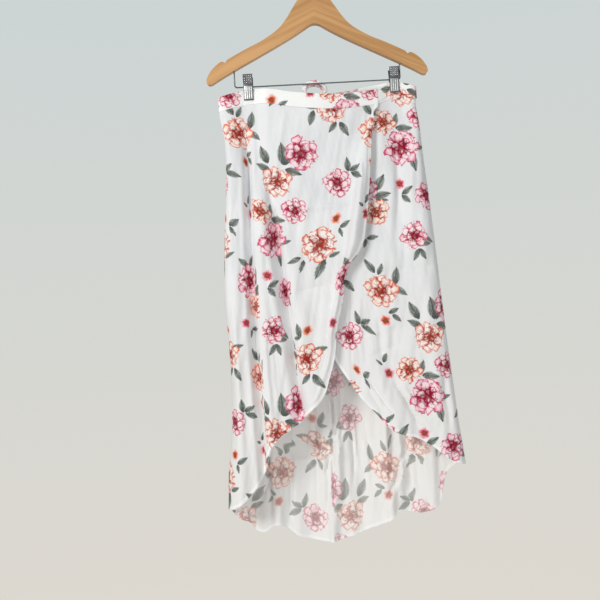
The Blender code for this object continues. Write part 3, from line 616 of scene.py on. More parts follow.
def back_depth(x, drop):
    body = read(SECTIONS, "drop", "back", drop) * side_round(x, drop)
    return PINCH_DEPTH + openness(x, drop) * (body + folds(BACK_FOLDS, x, drop))


def layer_points(x, drop, depth, facing):
    """Points in space for flat places, at a depth function's distance to the front or back."""
    return np.stack([x, facing * depth(x, drop), -drop], axis=-1)


def strip(x, middle, depth, facing, rows):
    """Points of a tie that lies level on a layer: rows about its middle line."""
    drop = middle[None] + TIE_WIDTH * np.linspace(-0.5, 0.5, rows)[:, None]
    return layer_points(np.broadcast_to(x, drop.shape), drop, depth, facing)


def side_turn(points, at_end):
    """Adds the last column of a layer at a side edge, where it turns to meet the other layer."""
    edge = points[:, -1:] if at_end else points[:, :1]
    turned = edge.copy()
    turned[..., 1] = np.sign(edge[..., 1]) * SEAM_GAP / 2
    return np.concatenate([points, turned] if at_end else [turned, points], axis=1)


def patch(top, bottom, left, right):
    """Places over a four-sided piece, blended from its edges. Top and bottom run left to right,
    left and right run down, and the corners agree."""
    across = np.linspace(0, 1, len(top))[None, :, None]
    down = np.linspace(0, 1, len(left))[:, None, None]
    between_sides = (1 - across) * left[:, None] + across * right[:, None]
    between_ends = (1 - down) * top[None] + down * bottom[None]
    corners = (1 - down) * ((1 - across) * top[0] + across * top[-1])
    corners = corners + down * ((1 - across) * bottom[0] + across * bottom[-1])
    return between_sides + between_ends - corners


def side_edge(side, start, end, shares):
    """A panel's side, from its corner under the waistband down to its corner at the hem."""
    drop = start + (end - start) * shares
    return np.stack([side_x(side, drop), drop], axis=-1)


def band_bottom(which, x):
    return read(BAND_TOPS, "x", which, x) + BAND_HEIGHT


def seam_line(which, x):
    """The top of a panel, just below its waistband."""
    return np.stack([x, band_bottom(which, x) + SEAM_GAP], axis=-1)


def moved_out(points, distance):
    """A grid of points moved out along the horizontal normals of its columns."""
    run = np.gradient(points, axis=1)
    outward = np.stack([run[..., 1], -run[..., 0], np.zeros(run.shape[:2])], axis=-1)
    return points + distance * outward / np.linalg.norm(outward, axis=-1, keepdims=True)


def tie_middle(x):
    """Where a tie's middle line runs on the back of the waistband."""
    return read(BAND_TOPS, "x", "back", x) + BAND_HEIGHT * TIE_HEIGHT_ON_BAND


# ---- finer forms of the cloth ------------------------------------------------------------------


def creases(table, x, drop):
    """Folds whose growth and fading fit their own length."""
    total = 0.0
    for fold in table:
        reach = min(FOLD_GROWTH, (fold.end - fold.top) * CREASE_GROWTH_SHARE)
        growth = ease((drop - fold.top) / reach) * ease((fold.end - drop) / reach)
        total = total + fold.rise * growth * fold_shape(fold, x, drop)
    return total


def presses(table, x, drop):
    """Level creases, sharp at their line, which fade towards their ends."""
    total = 0.0
    for press in table:
        share = np.clip((x - press.left) / (press.right - press.left), 0, 1)
        line = press.left_drop + (press.right_drop - press.left_drop) * share
        across = np.exp(-np.abs(drop - line) / press.width)
        ends = ease(share * PRESS_ENDS) * ease((1 - share) * PRESS_ENDS)
        total = total + press.rise * across * ends
    return total


def ripples(x, drop, shift):
    """Slow unevenness, which starts at another place in each panel."""
    total = 0.0
    for ripple in RIPPLES:
        turn = 2 * np.pi * (x / ripple.across + drop / ripple.down) + ripple.start + shift
        total = total + ripple.rise * np.sin(turn + np.sin(turn * RIPPLE_WARP + shift))
    return total


def fine(table, press_table, shift, x, drop):
    """All small forms of a panel, held back where a clip or a side edge holds the cloth."""
    small = creases(table, x, drop) + presses(press_table, x, drop) + ripples(x, drop, shift)
    below_band = ease((drop - JAW_TIP - BAND_HEIGHT * 0.5) / BAND_HEIGHT)
    return small * openness(x, drop) * side_round(x, drop) * below_band


def seam_tuck(which, x, drop):
    """How far in a panel lies where it goes under its waistband."""
    held = 1 - HELD_TUCK_LOSS * (1 - openness(x, drop))
    return SEAM_TUCK * held * np.exp(-np.maximum(drop - band_bottom(which, x), 0) / SEAM_TUCK_REACH)


def over_cloth_depth(x, drop):
    form = over_depth(x, drop) - seam_tuck("front", x, drop)
    return form + fine(OVER_CREASES, OVER_PRESSES, OVER_START, x, drop)


def under_cloth_depth(x, drop):
    form = under_depth(x, drop) - seam_tuck("front", x, drop)
    return form + fine(UNDER_CREASES, UNDER_PRESSES, UNDER_START, x, drop)


def back_cloth_depth(x, drop):
    form = back_depth(x, drop) - seam_tuck("back", x, drop)
    return form - fine(BACK_CREASES, BACK_PRESSES, BACK_START, x, drop)


def spaced(count, start_steps, end_steps):
    """Shares from 0 to 1: even ones, with closer ones at these distances from the two ends."""
    even = np.linspace(0, 1, count + 1)
    places = np.concatenate([even, start_steps, 1 - np.array(end_steps, float)])
    places = np.unique(np.round(places, 6))
    keep = [places[0]]
    for place in places[1:]:
        if place - keep[-1] > SMALLEST_STEP:
            keep.append(place)
    keep[-1] = 1.0
    return np.array(keep)


def flat_places(points, grain, tucks=()):
    """Where each point of a grid lies in the printed repeat, along the cloth and not through the
    air, in millimetres."""
    x, depth, drop = points[..., 0], points[..., 1], -points[..., 2]
    step_x = np.diff(x, axis=1)
    extra = np.hypot(step_x, np.diff(depth, axis=1)) - np.abs(step_x)
    extra = np.concatenate([np.zeros((len(x), 1)), np.cumsum(extra, axis=1)], axis=1)
    rows = np.arange(len(x))
    nearest = np.abs(x - grain.x).argmin(axis=1)
    across = x + extra - extra[rows, nearest][:, None]
    slipped = drop
    for line, table, side, width in tucks:
        edge = read(line, "drop", "x", drop)
        beyond = ease(side * (x - edge) / width + 0.5)
        across = across + side * read(table, "drop", "hidden", drop) * beyond
        slipped = slipped + read(table, "drop", "slip", drop) * beyond
    along_x, along_drop = across - grain.x, slipped - grain.drop
    u = along_x * math.cos(grain.lean) - along_drop * math.sin(grain.lean)
    v = along_x * math.sin(grain.lean) + along_drop * math.cos(grain.lean)
    return np.stack([grain.side * u, v], axis=-1)


def wrapped(distance, period):
    """The shortest of the repeat's distances."""
    return (distance + period / 2) % period - period / 2


def bloom_places(centres, places, face_of):
    """For each face its nearest flower of the repeat, and its corners' places on that flower,
    where 1 is the flower's rim."""
    rows = [(b.across, b.down, b.radius, b.pink, b.open, 0.0, b.turn) for b in BLOOMS]
    rows += [(b.across, b.down, BLOSSOM_RADIUS, b.pink, 0.0, 1.0, b.down * 0.1) for b in BLOSSOMS]
    table = np.array(rows)
    off_u = wrapped(centres[:, :1] - table[:, 0], TILE_WIDTH)
    off_v = wrapped(centres[:, 1:] - table[:, 1], TILE_HEIGHT)
    chosen = (np.hypot(off_u, off_v) - table[:, 2]).argmin(axis=1)
    index = np.arange(len(chosen))
    flower = table[chosen]
    offset = np.stack([off_u[index, chosen], off_v[index, chosen]], axis=-1)
    within = np.clip(places - centres[face_of], -FACE_REACH, FACE_REACH)
    local = (within + offset[face_of]) / flower[face_of, 2][:, None]
    turn = flower[face_of, 6]
    x, y = local[:, 0], local[:, 1]
    turned = [x * np.cos(turn) - y * np.sin(turn), x * np.sin(turn) + y * np.cos(turn)]
    return np.stack(turned, axis=-1), flower


def leaf_places(centres, places, face_of):
    """For each face its nearest leaf of the repeat, and its corners' places on that leaf: from 0 at
    its base to 1 at its tip, and from -1 to 1 over its greatest width."""
    table = np.array(LEAVES, float)
    base, tip = table[:, :2], table[:, 2:]
    run = (tip - base) * LEAF_STRETCH
    length = np.linalg.norm(run, axis=1)
    run = run / length[:, None]
    middle = base + run * length[:, None] / 2
    off_u = wrapped(centres[:, :1] - middle[:, 0], TILE_WIDTH)
    off_v = wrapped(centres[:, 1:] - middle[:, 1], TILE_HEIGHT)
    forward = (off_u * run[:, 0] + off_v * run[:, 1]) / length + 0.5
    half_width = length * LEAF_HALF_WIDTH
    aside = np.abs(off_v * run[:, 0] - off_u * run[:, 1])
    reach = half_width * np.sin(np.pi * np.clip(forward, 0, 1))
    outside = np.maximum(np.abs(forward - 0.5) - 0.5, 0) * length
    chosen = (np.maximum(aside - reach, -reach) + outside * 2).argmin(axis=1)
    index = np.arange(len(chosen))
    offset = np.stack([off_u[index, chosen], off_v[index, chosen]], axis=-1)
    place = np.clip(places - centres[face_of], -FACE_REACH, FACE_REACH) + offset[face_of]
    run, length = run[chosen][face_of], length[chosen][face_of]
    ahead = (place * run).sum(axis=-1) / length + 0.5
    beside = place[:, 1] * run[:, 0] - place[:, 0] * run[:, 1]
    return np.stack([ahead, beside / (length * LEAF_HALF_WIDTH)], axis=-1), chosen


def paint_places(mesh, places, centres, wrong=0.0, doubled=1.0):
    """Gives a mesh its UV maps and face attributes, from each corner's and each face's place in
    the printed repeat."""
    starts = np.zeros(len(mesh.polygons), int)
    totals = np.zeros(len(mesh.polygons), int)
    mesh.polygons.foreach_get("loop_start", starts)
    mesh.polygons.foreach_get("loop_total", totals)
    face_of = np.repeat(np.arange(len(starts)), totals)
    order = np.argsort(np.repeat(starts, totals), kind="stable")
    face_of = face_of[order]
    bloom, flower = bloom_places(centres, places, face_of)
    leaf, leaf_row = leaf_places(centres, places, face_of)
    for map_name, values in (("flat", places * MM), ("bloom", bloom), ("leaf", leaf)):
        layer = mesh.uv_layers.new(name=map_name)
        layer.data.foreach_set("uv", values.reshape(-1).astype(np.float32))
    for attribute_name, values in (
        ("pinkness", flower[:, 3]),
        ("open_petals", flower[:, 4]),
        ("small_blossom", flower[:, 5]),
        ("bloom_turn", flower[:, 6]),
        ("leaf_row", leaf_row),
        ("wrong_side", np.broadcast_to(wrong, len(starts))),
        ("doubled", np.broadcast_to(doubled, len(starts))),
    ):
        attribute = mesh.attributes.new(attribute_name, "FLOAT", "FACE")
        attribute.data.foreach_set("value", np.ascontiguousarray(values, np.float32))


def placed(mesh, finish):
    """An object of the mesh's own name, with its finish."""
    made = bpy.data.objects.new(mesh.name, mesh)
    made.data.materials.append(finish)
    bpy.context.scene.collection.objects.link(made)
    return made


def shell(name, points, flat, wall, facing, finish):
    """A closed thin wall about a grid of middle points, with its print as UV maps. Its outside is
    the cloth's right side, and its inside the wrong side."""
    rows, columns, _ = points.shape
    normal = np.cross(np.gradient(points, axis=0), np.gradient(points, axis=1))
    normal /= np.maximum(np.linalg.norm(normal, axis=-1, keepdims=True), 1e-9)
    thickness = np.broadcast_to(np.asarray(wall, float), (rows, columns))
    outwards = normal * thickness[..., None] / 2 * (1 if facing == FRONT else -1)
    count = rows * columns
    index = np.arange(count).reshape(rows, columns)
    quads = np.stack([index[:-1, :-1], index[1:, :-1], index[1:, 1:], index[:-1, 1:]], axis=-1)
    quads = quads.reshape(-1, 4)
    edge = np.concatenate([index[:, 0], index[-1, 1:], index[-2::-1, -1], index[0, -2:0:-1]])
    ahead = np.roll(edge, -1)
    rim = np.stack([ahead, edge, edge + count, ahead + count], axis=-1)
    if facing == BACK:
        quads, rim = quads[:, ::-1], rim[:, ::-1]
    faces = np.concatenate([quads, quads[:, ::-1] + count, rim])
    both = np.concatenate([points + outwards, points - outwards])
    mesh = bpy.data.meshes.new(name)
    mesh.from_pydata((both.reshape(-1, 3) * MM).tolist(), [], faces.tolist())
    places = np.concatenate([flat.reshape(-1, 2)] * 2)
    corners = places[faces]
    wrong = np.zeros(len(faces))
    wrong[len(quads) : 2 * len(quads)] = 1
    thickness = np.tile(thickness.reshape(-1), 2)[faces].mean(axis=1)
    doubled = ease((thickness - CLOTH_WALL) / DOUBLED_STEP)
    paint_places(mesh, corners.reshape(-1, 2), corners.mean(axis=1), wrong, doubled)
    mesh.shade_smooth()
    mesh.set_sharp_from_angle(angle=CLOTH_SHARP)
    return placed(mesh, finish)


def hem_walls(places, lines):
    """The wall at each place: thicker in the rolled hem along these lines of places."""
    distance = np.full(places.shape[:2], 1e3)
    for line in lines:
        for point in line[::2]:
            away = np.hypot(places[..., 0] - point[0], places[..., 1] - point[1])
            distance = np.minimum(distance, away)
    return CLOTH_WALL + (HEM_WALL - CLOTH_WALL) * ease((HEM_WIDTH - distance) / HEM_STEP + 0.5)


def turned_in(points, flat, walls, at_end):
    """The last column at a side edge, turned in to the side seam, with its print and wall."""
    points = side_turn(points, at_end)
    pick = slice(-1, None) if at_end else slice(0, 1)
    parts = [(flat, flat[:, pick]), (walls, walls[:, pick])]
    joined = [np.concatenate(pair if at_end else pair[::-1], axis=1) for pair in parts]
    return points, joined[0], joined[1]


def set_in_frame(made, node):
    """Sets a piece in the frame in place of its solid."""
    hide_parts(node)
    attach(made, "root")


def finish_piece(made, node, flat_size):
    """Sets a cloth piece in place of its solid. The flat size it was cut as is not used."""
    set_in_frame(made, node)


# ---- finishes ----------------------------------------------------------------------------------


class Number:
    """A number in a material's nodes, so that shader sums are written as Python."""

    def __init__(self, finish, socket):
        self.finish = finish
        self.socket = socket

    def __add__(self, other):
        return self.finish.math("ADD", self, other)

    def __sub__(self, other):
        return self.finish.math("SUBTRACT", self, other)

    def __rsub__(self, other):
        return self.finish.math("SUBTRACT", other, self)

    def __mul__(self, other):
        return self.finish.math("MULTIPLY", self, other)

    def __truediv__(self, other):
        return self.finish.math("DIVIDE", self, other)

    def __pow__(self, other):
        return self.finish.math("POWER", self, other)

    def __neg__(self):
        return self.finish.math("MULTIPLY", self, -1.0)

    def __abs__(self):
        return self.finish.math("ABSOLUTE", self)

    __radd__ = __add__
    __rmul__ = __mul__

    def sine(self):
        return self.finish.math("SINE", self)

    def cosine(self):
        return self.finish.math("COSINE", self)

    def most(self, other):
        return self.finish.math("MAXIMUM", self, other)

    def between(self, low, high):
        """0 at low, 1 at high, smooth between, and level past both."""
        made = self.finish.node(
            "ShaderNodeMapRange",
            {"interpolation_type": "SMOOTHSTEP"},
            {"Value": self, "From Min": low, "From Max": high},
        )
        return Number(self.finish, made.outputs[0])


class Finish:
    """A material, and the tools to paint it."""

    def __init__(self, name, roughness, metallic=0.0):
        self.material = bpy.data.materials.new(name)
        self.material.use_nodes = True
        self.nodes = self.material.node_tree.nodes
        self.links = self.material.node_tree.links
        self.shader = self.nodes["Principled BSDF"]
        self.put(self.shader.inputs["Roughness"], roughness)
        self.put(self.shader.inputs["Metallic"], metallic)

    def put(self, socket, value):
        if isinstance(value, Number):
            value = value.socket
        if isinstance(value, bpy.types.NodeSocket):
            self.links.new(value, socket)
        elif isinstance(value, tuple) and len(value) == 3 and socket.type == "RGBA":
            socket.default_value = (*value, 1.0)
        else:
            socket.default_value = value

    def node(self, kind, settings=None, inputs=None):
        """A new node: its settings first, then what goes into its sockets."""
        made = self.nodes.new(kind)
        for key, value in (settings or {}).items():
            setattr(made, key, value)
        for key, value in (inputs or {}).items():
            self.put(made.inputs[key], value)
        return made

    def math(self, operation, *values):
        inputs = dict(enumerate(values))
        made = self.node("ShaderNodeMath", {"operation": operation}, inputs)
        return Number(self, made.outputs[0])

    def mix(self, share, first, second):
        """The first colour where share is 0, the second where it is 1."""
        inputs = {0: share, 6: first, 7: second}
        return self.node("ShaderNodeMix", {"data_type": "RGBA"}, inputs).outputs[2]

    def attribute(self, name):
        made = self.node("ShaderNodeAttribute", {"attribute_name": name})
        return Number(self, made.outputs["Fac"])

    def places(self, name=None):
        """The object's own places in metres, or a UV map's."""
        if name is None:
            return self.node("ShaderNodeTexCoord").outputs["Object"]
        return self.node("ShaderNodeUVMap", {"uv_map": name}).outputs["UV"]

    def split(self, vector):
        parts = self.node("ShaderNodeSeparateXYZ", None, {0: vector})
        return [Number(self, output) for output in parts.outputs]

    def place(self, x, y, z):
        return self.node("ShaderNodeCombineXYZ", None, {0: x, 1: y, 2: z}).outputs[0]

    def stretched(self, vector, scale, location=(0, 0, 0)):
        inputs = {"Vector": vector, "Scale": scale, "Location": location}
        return self.node("ShaderNodeMapping", None, inputs).outputs[0]

    def noise(self, vector, scale, detail=2.0, roughness=0.5):
        inputs = {"Vector": vector, "Scale": scale, "Detail": detail, "Roughness": roughness}
        return Number(self, self.node("ShaderNodeTexNoise", None, inputs).outputs[0])

    def bump(self, height, strength, distance):
        inputs = {"Height": height, "Strength": strength, "Distance": distance}
        made = self.node("ShaderNodeBump", None, inputs)
        self.put(self.shader.inputs["Normal"], made.outputs[0])

    def shade(self, **values):
        """Sets the shader's sockets, each named with _ for its spaces, and gives the material."""
        for name, value in values.items():
            self.put(self.shader.inputs[name.replace("_", " ")], value)
        return self.material


def linear(*steps):
    """A display colour, in steps of 0 to 255, as light."""
    return tuple(((s / 255 + 0.055) / 1.055) ** 2.4 if s > 10 else s / 255 / 12.92 for s in steps)


CORAL_DEEP = linear(158, 40, 30)
CORAL = linear(241, 126, 94)
CORAL_PALE = linear(255, 234, 224)
PINK_DEEP = linear(144, 16, 50)
PINK = linear(228, 84, 128)
PINK_PALE = linear(253, 220, 230)
PETAL_WHITE = linear(253, 242, 236)
HEART = linear(132, 98, 58)
LEAF_DARK = linear(46, 54, 50)
LEAF_MIDDLE = linear(120, 128, 120)
LEAF_PALE = linear(190, 195, 190)
# Rings of petals from the outside in: how many, how far out their middles lie, half their length,
# how far they are turned, how pale they are, and how dark their outlines
Ring = namedtuple("Ring", "count middle reach shift paleness outline")
PETAL_RINGS = listed(
    Ring,
    (9, 0.76, 0.27, 0.0, 0.85, 0.95), (6, 0.5, 0.29, 0.4, 1.15, 1.0),
    (4, 0.22, 0.16, 0.2, 0.7, 1.0),
)
# Where a jaw's ribbed part starts, and its bands of painted shade above its tip and inside its side
# edges
RIBBED_FROM, PAINTED_SHADOW_ABOVE_TIP, PAINTED_SHADE_AT_EDGES = (240.0, 243.0), (3.4, 2.6), (1.5, 0.9)
# How far a pink flower's heart lies off its middle
HEART_SHIFT = (0.2, -0.14)
# A thread of the weave every 0.7 mm, in the flat cloth's metres
WEAVE_TURNS = 2 * math.pi / 0.0007


def paint_petals(cloth, ring, x, y, turn, blotch, streak, colours):
    """One ring of petals: what it covers, and its colour. A petal is palest in its middle, dark in
    strokes at its foot, and outlined."""
    pale, body, deep = colours
    distance = cloth.math("SQRT", x * x + y * y)
    turns = cloth.math("ARCTAN2", y, x) * (ring.count / (2 * math.pi)) + turn * 3.0 + ring.shift
    turns = turns + (blotch - 0.5) * 0.9
    own = (cloth.math("FLOOR", turns) * 2.4 + turn * 9.0).sine()
    beside = cloth.math("FRACT", turns) - 0.5
    outward = (distance - ring.middle - own * 0.07) / (ring.reach * (1 + own * 0.2))
    rim = cloth.math("SQRT", beside * beside * 4.0 + outward * outward)
    covered = 1 - rim.between(0.88, 1.02)
    flush = rim.between(0.36, 1.0) * 0.72 + (0.5 - blotch) * 1.3 + (own * 0.2 - 0.05)
    flush = flush + (1 - ring.paleness) * 0.6
    petal = cloth.mix(flush.between(0.1, 0.95), pale, body)
    foot = (-outward + (streak - 0.5) * 3.0).between(0.1, 0.95)
    line = rim.between(0.68, 0.95) * (0.9 - outward.between(0.2, 1.0) * 0.5)
    line = line * (streak.between(0.38, 0.56) * 0.85 + 0.15) * ring.outline
    return covered, cloth.mix(foot.most(line), petal, deep)


def paint_flower(cloth):
    """The share that the flower covers, its colour, and the share and colour of its soft rim."""
    x, y, _ = cloth.split(cloth.places("bloom"))
    pink, opened = cloth.attribute("pinkness"), cloth.attribute("open_petals")
    small, turn = cloth.attribute("small_blossom"), cloth.attribute("bloom_turn")
    seat = cloth.place(x, y, turn * 3.0)
    # The outlines wander a little
    wobble_x = cloth.noise(seat, 2.2) - 0.5
    wobble_y = cloth.noise(cloth.stretched(seat, (1, 1, 1), (7, 3, 5)), 2.2) - 0.5
    x, y = x + wobble_x * 0.42, y + wobble_y * 0.42
    distance = cloth.math("SQRT", x * x + y * y)
    angle = cloth.math("ARCTAN2", y, x)
    deep = cloth.mix(pink, CORAL_DEEP, PINK_DEEP)
    body = cloth.mix(pink, CORAL, PINK)
    pale = cloth.mix(opened, cloth.mix(pink, CORAL_PALE, PINK_PALE), PETAL_WHITE)
    blotch = cloth.noise(seat, 3.2, 4.0, 0.6)
    streak = cloth.noise(cloth.place(angle * 4.0, distance * 2.2, turn * 5.0), 1.5, 2.0)
    # The ground between the petals, and then the rings of petals, from the outside in
    between = (distance + (blotch - 0.5) * 0.8).between(0.35, 0.95)
    colour = cloth.mix(between * 0.6, deep, body)
    covered = 1 - (distance + (streak - 0.5) * 1.1).between(0.76, 0.98)
    for row, ring in enumerate(PETAL_RINGS):
        aside = pink * (row / 2)
        ring_x, ring_y = x + aside * HEART_SHIFT[0], y + aside * HEART_SHIFT[1]
        tones = (pale, body, deep)
        cover, petal = paint_petals(cloth, ring, ring_x, ring_y, turn, blotch, streak, tones)
        colour = cloth.mix(cover, colour, petal)
        if row == 0:
            covered = covered.most(cover)
    # The dark middle, with streaks that run out from it, and its heart
    flushed = (1 - (distance + (streak - 0.5) * 1.7).between(0.13, 0.56)) * 0.92
    colour = cloth.mix(flushed, colour, deep)
    heart = (1 - distance.between(0.05, 0.2)) * blotch.between(0.42, 0.6)
    colour = cloth.mix(heart * 0.7, colour, HEART)
    # A small blossom has no rings. It is dark in its middle and pale at its spiky outline.
    solid = cloth.mix((distance + (blotch - 0.5) * 0.8).between(0.1, 0.32), HEART, deep)
    solid = cloth.mix((distance + (blotch - 0.5) * 0.9).between(0.2, 0.62), solid, body)
    rim_share = (distance + (streak - 0.5) * 1.1).between(0.5, 0.95) * 0.8
    solid = cloth.mix(rim_share, solid, cloth.mix(pink, CORAL_PALE, PINK_PALE))
    colour = cloth.mix(small, colour, solid)
    spikes = abs((angle * 2.5 + turn).cosine()) * 0.22 + 0.68 + (blotch - 0.5) * 0.7
    spiky = 1 - (distance - spikes).between(-0.42, 0.24)
    covered = covered * (1 - small) + spiky * small
    # Dye that has spread into the cloth round a flower
    halo = (1 - distance.between(0.8, 1.2)) * (1 - small) * 0.28
    return covered, colour, halo, cloth.mix(pink, CORAL_PALE, PINK_PALE)


def paint_leaf(cloth):
    """The share that a leaf covers, and its colour, with a dark middle vein and side veins."""
    along_leaf, beside, _ = cloth.split(cloth.places("leaf"))
    row = cloth.attribute("leaf_row")
    seat = cloth.place(along_leaf, beside, row)
    wobble = cloth.noise(seat, 2.5) - 0.5
    beside = beside + wobble * 0.6 * along_leaf
    inside = along_leaf.between(0.0, 0.02) * (1 - along_leaf.between(0.98, 1.0))
    # Half the leaf's width here, widest nearer its base
    half = ((along_leaf**0.8) * math.pi).sine().most(0.0) ** 0.9
    side = abs(beside)
    tone = cloth.noise(seat, 3.4, 3.0, 0.6)
    covered = (half - side + (tone - 0.5) * 0.25).between(-0.03, 0.16) * inside
    vein = 1 - side.between(0.04, 0.2)
    ribs = ((along_leaf * 30 - side * 9).sine() * 0.5 + 0.5) * side.between(0.1, 0.35)
    dark = vein.most(1 - along_leaf.between(0.05, 0.6)) * 0.8 + ribs * 0.4 + (tone - 0.5) * 1.3
    colour = cloth.mix(dark.between(0.05, 0.95), LEAF_MIDDLE, LEAF_DARK)
    light = (side / (half + 0.05)).between(0.4, 1.0) * 0.75 + (tone - 0.5).between(0, 0.2) * 0.7
    return covered, cloth.mix(light.between(0.0, 1.0) * (1 - vein * 0.7), colour, LEAF_PALE)


def cloth_finish(colours):
    """White viscose, printed on one side. The print shows through faded on the wrong side."""
    cloth = Finish("printed_viscose", 0.82)
    where = cloth.places()
    # The unprinted cloth, with painted warm bounce light towards the hem, and paler where it is
    # double
    soft = cloth.noise(where, 9.0, 3.0)
    ground = cloth.mix(soft.between(0.3, 0.7), tuple(colours.ground), tuple(colours.ground_shade))
    _, _, height = cloth.split(where)
    ground = cloth.mix((-height).between(0.4, 1.05) * 0.7, ground, tuple(colours.painted_warm_bounce))
    ground = cloth.mix(cloth.attribute("doubled") * 0.9, ground, tuple(colours.ground_doubled))
    # The print: flowers over leaves, and all of it faded on the wrong side
    leaf_cover, leaf_colour = paint_leaf(cloth)
    bloom_cover, bloom_colour, halo, halo_colour = paint_flower(cloth)
    printed = cloth.mix(halo, ground, halo_colour)
    printed = cloth.mix(leaf_cover * 0.94, printed, leaf_colour)
    printed = cloth.mix(bloom_cover, printed, bloom_colour)
    # The faded print on the wrong side is the cloth's own. The wrong side's colour is painted paler
    # and warmer than the ground: painted light standing in for light coming through the cloth into
    # the skirt
    wrong = cloth.attribute("wrong_side")
    faded = cloth.mix(1 - colours.wrong_side_strength, printed, tuple(colours.wrong_side))
    colour = cloth.mix(wrong, printed, faded)
    # The relief: the weave's threads, thicker threads, and crumples at three sizes
    u, v, _ = cloth.split(cloth.places("flat"))
    weave = (u * WEAVE_TURNS).sine() * (v * WEAVE_TURNS).sine()
    slub = cloth.noise(cloth.stretched(cloth.places("flat"), (900, 140, 1)), 1.0, 2.0)
    down = cloth.stretched(where, (38, 38, 9))
    across = cloth.stretched(where, (12, 12, 40), (3, 1, 2))
    crumple = abs(cloth.noise(down, 1.0, 3.0) - 0.5)
    crumple = crumple + abs(cloth.noise(across, 1.0, 2.0) - 0.5) * 0.6
    crumple = crumple + cloth.noise(where, 26.0, 2.0) * 0.8
    relief = weave * 0.06 + slub * 0.2 + cloth.noise(where, 160.0, 3.0) * 0.4 + crumple * 3.0
    cloth.bump(relief, 1.0, 0.0005)
    return cloth.shade(
        Base_Color=colour, Specular_IOR_Level=0.12, Sheen_Weight=0.02, Sheen_Roughness=0.5,
        Subsurface_Weight=0.2, Subsurface_Radius=(1.0, 0.9, 0.85), Subsurface_Scale=0.0008,
    )


def wood_finish(colours):
    """Honey-coloured wood under clear satin lacquer, with its grain along X."""
    wood = Finish("honey_wood", 0.38)
    where = wood.places()
    x, _, z = wood.split(where)
    level = z + abs(x) * 0.46
    grain_place = wood.place(x * 2.0, level * 40, 0.3)
    rings = wood.noise(grain_place, 2.4, 5.0, 0.6)
    pores = wood.noise(wood.stretched(grain_place, (6, 9, 1)), 6.0, 2.0)
    light, dark = tuple(colours.wood_light), tuple(colours.wood_dark)
    colour = wood.mix(rings.between(0.32, 0.66), light, dark)
    colour = wood.mix((pores - 0.58).between(0, 0.14) * 0.35, colour, dark)
    roughness = rings * 0.16 + 0.3
    wood.bump(rings + pores * 0.4, 0.12, 0.0005)
    return wood.shade(
        Base_Color=colour, Roughness=roughness, Coat_Weight=0.35, Coat_Roughness=0.18
    )


def clip_finish(colours):
    """Bright plating, with a painted dark reflection on the handles, and painted shade in the
    grooves between the ribs, in a band above the tip and along the side edges.
    """
    metal = Finish("clip_plating", 0.3, 1.0)
    x, _, z = metal.split(metal.places())
    drop = -z / MM
    aside = abs(abs(x / MM - CLIPS_MIDDLE) - CLIPS_APART / 2)
    # Painted shade: dark lines between the ribs, a dark band just above the teeth and dark lines
    # inside the side edges
    groove_shade = (aside * (2 * math.pi / RIB_PITCH)).cosine().between(0.55, 0.95)
    lower = drop.between(*RIBBED_FROM)
    teeth = drop.between(*(JAW_TIP - above for above in PAINTED_SHADOW_ABOVE_TIP))
    rim = aside.between(*(JAW_WIDTH / 2 - inside for inside in PAINTED_SHADE_AT_EDGES))
    dark = (groove_shade * lower).most(teeth).most(rim) * 0.9
    # Painted reflection: above the ribbed part the handle takes the bar's dark colour, standing in
    # for darker surroundings mirrored in the tilted plating
    colour = metal.mix(lower, tuple(colours.steel_and_painted_shade), tuple(colours.chrome))
    # The painted shade is a darker copy of the bar's colour, and it is made less metallic so that
    # it stays dark
    colour = metal.mix(dark, colour, tuple(c * 0.35 for c in colours.steel_and_painted_shade))
    marks = metal.noise(metal.stretched(metal.places(), (900, 900, 120)), 1.0, 3.0)
    metallic, roughness = 1 - dark * 0.8, marks * 0.14 + 0.36
    metal.bump(marks, 0.06, 0.0002)
    return metal.shade(Base_Color=colour, Metallic=metallic, Roughness=roughness)


def metal_finish(name, colour, roughness):
    """Plated steel with fine rubbing marks, and patches of painted darker reflection."""
    metal = Finish(name, roughness, 1.0)
    where = metal.places()
    marks = metal.noise(metal.stretched(where, (900, 900, 120)), 1.0, 3.0)
    # Painted reflection: darker patches stand in for the darker surroundings that the plating would
    # mirror
    reflection_patches = metal.noise(where, 60.0, 2.0)
    shade = tuple(c * 0.72 for c in colour)
    painted_reflection = metal.mix(reflection_patches.between(0.35, 0.7), colour, shade)
    rubbed = marks * 0.16 + (roughness - 0.04)
    metal.bump(marks, 0.06, 0.0002)
    return metal.shade(Base_Color=painted_reflection, Roughness=rubbed)


# ---- the pieces of the skirt -------------------------------------------------------------------


# A panel's left and right are its free edge, or the drop of the corner where its side seam meets
# the hem. Its flat size is what it was cut to before it was hung: its greatest width and length.
Panel = namedtuple(
    "Panel",
    "name solid band seam start end left right hem depth facing grain tucks flat area",
)
OVER_FRONT = Panel(
    "over_front_cloth", "front_over", "over_band_cloth", "front", LEFT_X, OVER_END_X,
    1098.0, OVER_FREE_EDGE, OVER_HEM, over_cloth_depth, FRONT, OVER_GRAIN,
    ((FOLD_ONE_LINE, FOLD_ONE_TUCK, -1, TUCK_WIDTH), (FOLD_TWO_LINE, FOLD_TWO_TUCK, 1, TUCK_WIDTH)),
    (0.40, 0.83), 0.245,
)
UNDER_FRONT = Panel(
    "under_front_cloth", "front_under", "under_band_cloth", "front", UNDER_END_X, RIGHT_X,
    UNDER_FREE_EDGE, 1030.0, UNDER_HEM, under_cloth_depth, FRONT, UNDER_GRAIN,
    ((UNDER_SLIP_LINE, UNDER_SLIP, -1, SLIP_WIDTH),), (0.42, 0.76), 0.215,
)
LONG_BACK = Panel(
    "back_cloth", "back", "back_band_cloth", "back", LEFT_X, RIGHT_X,
    1101.0, 1030.0, BACK_HEM, back_cloth_depth, BACK, BACK_GRAIN,
    ((BACK_FOLD_LINE, BACK_TUCK, -1, TUCK_WIDTH),), (0.60, 0.91), 0.46,
)


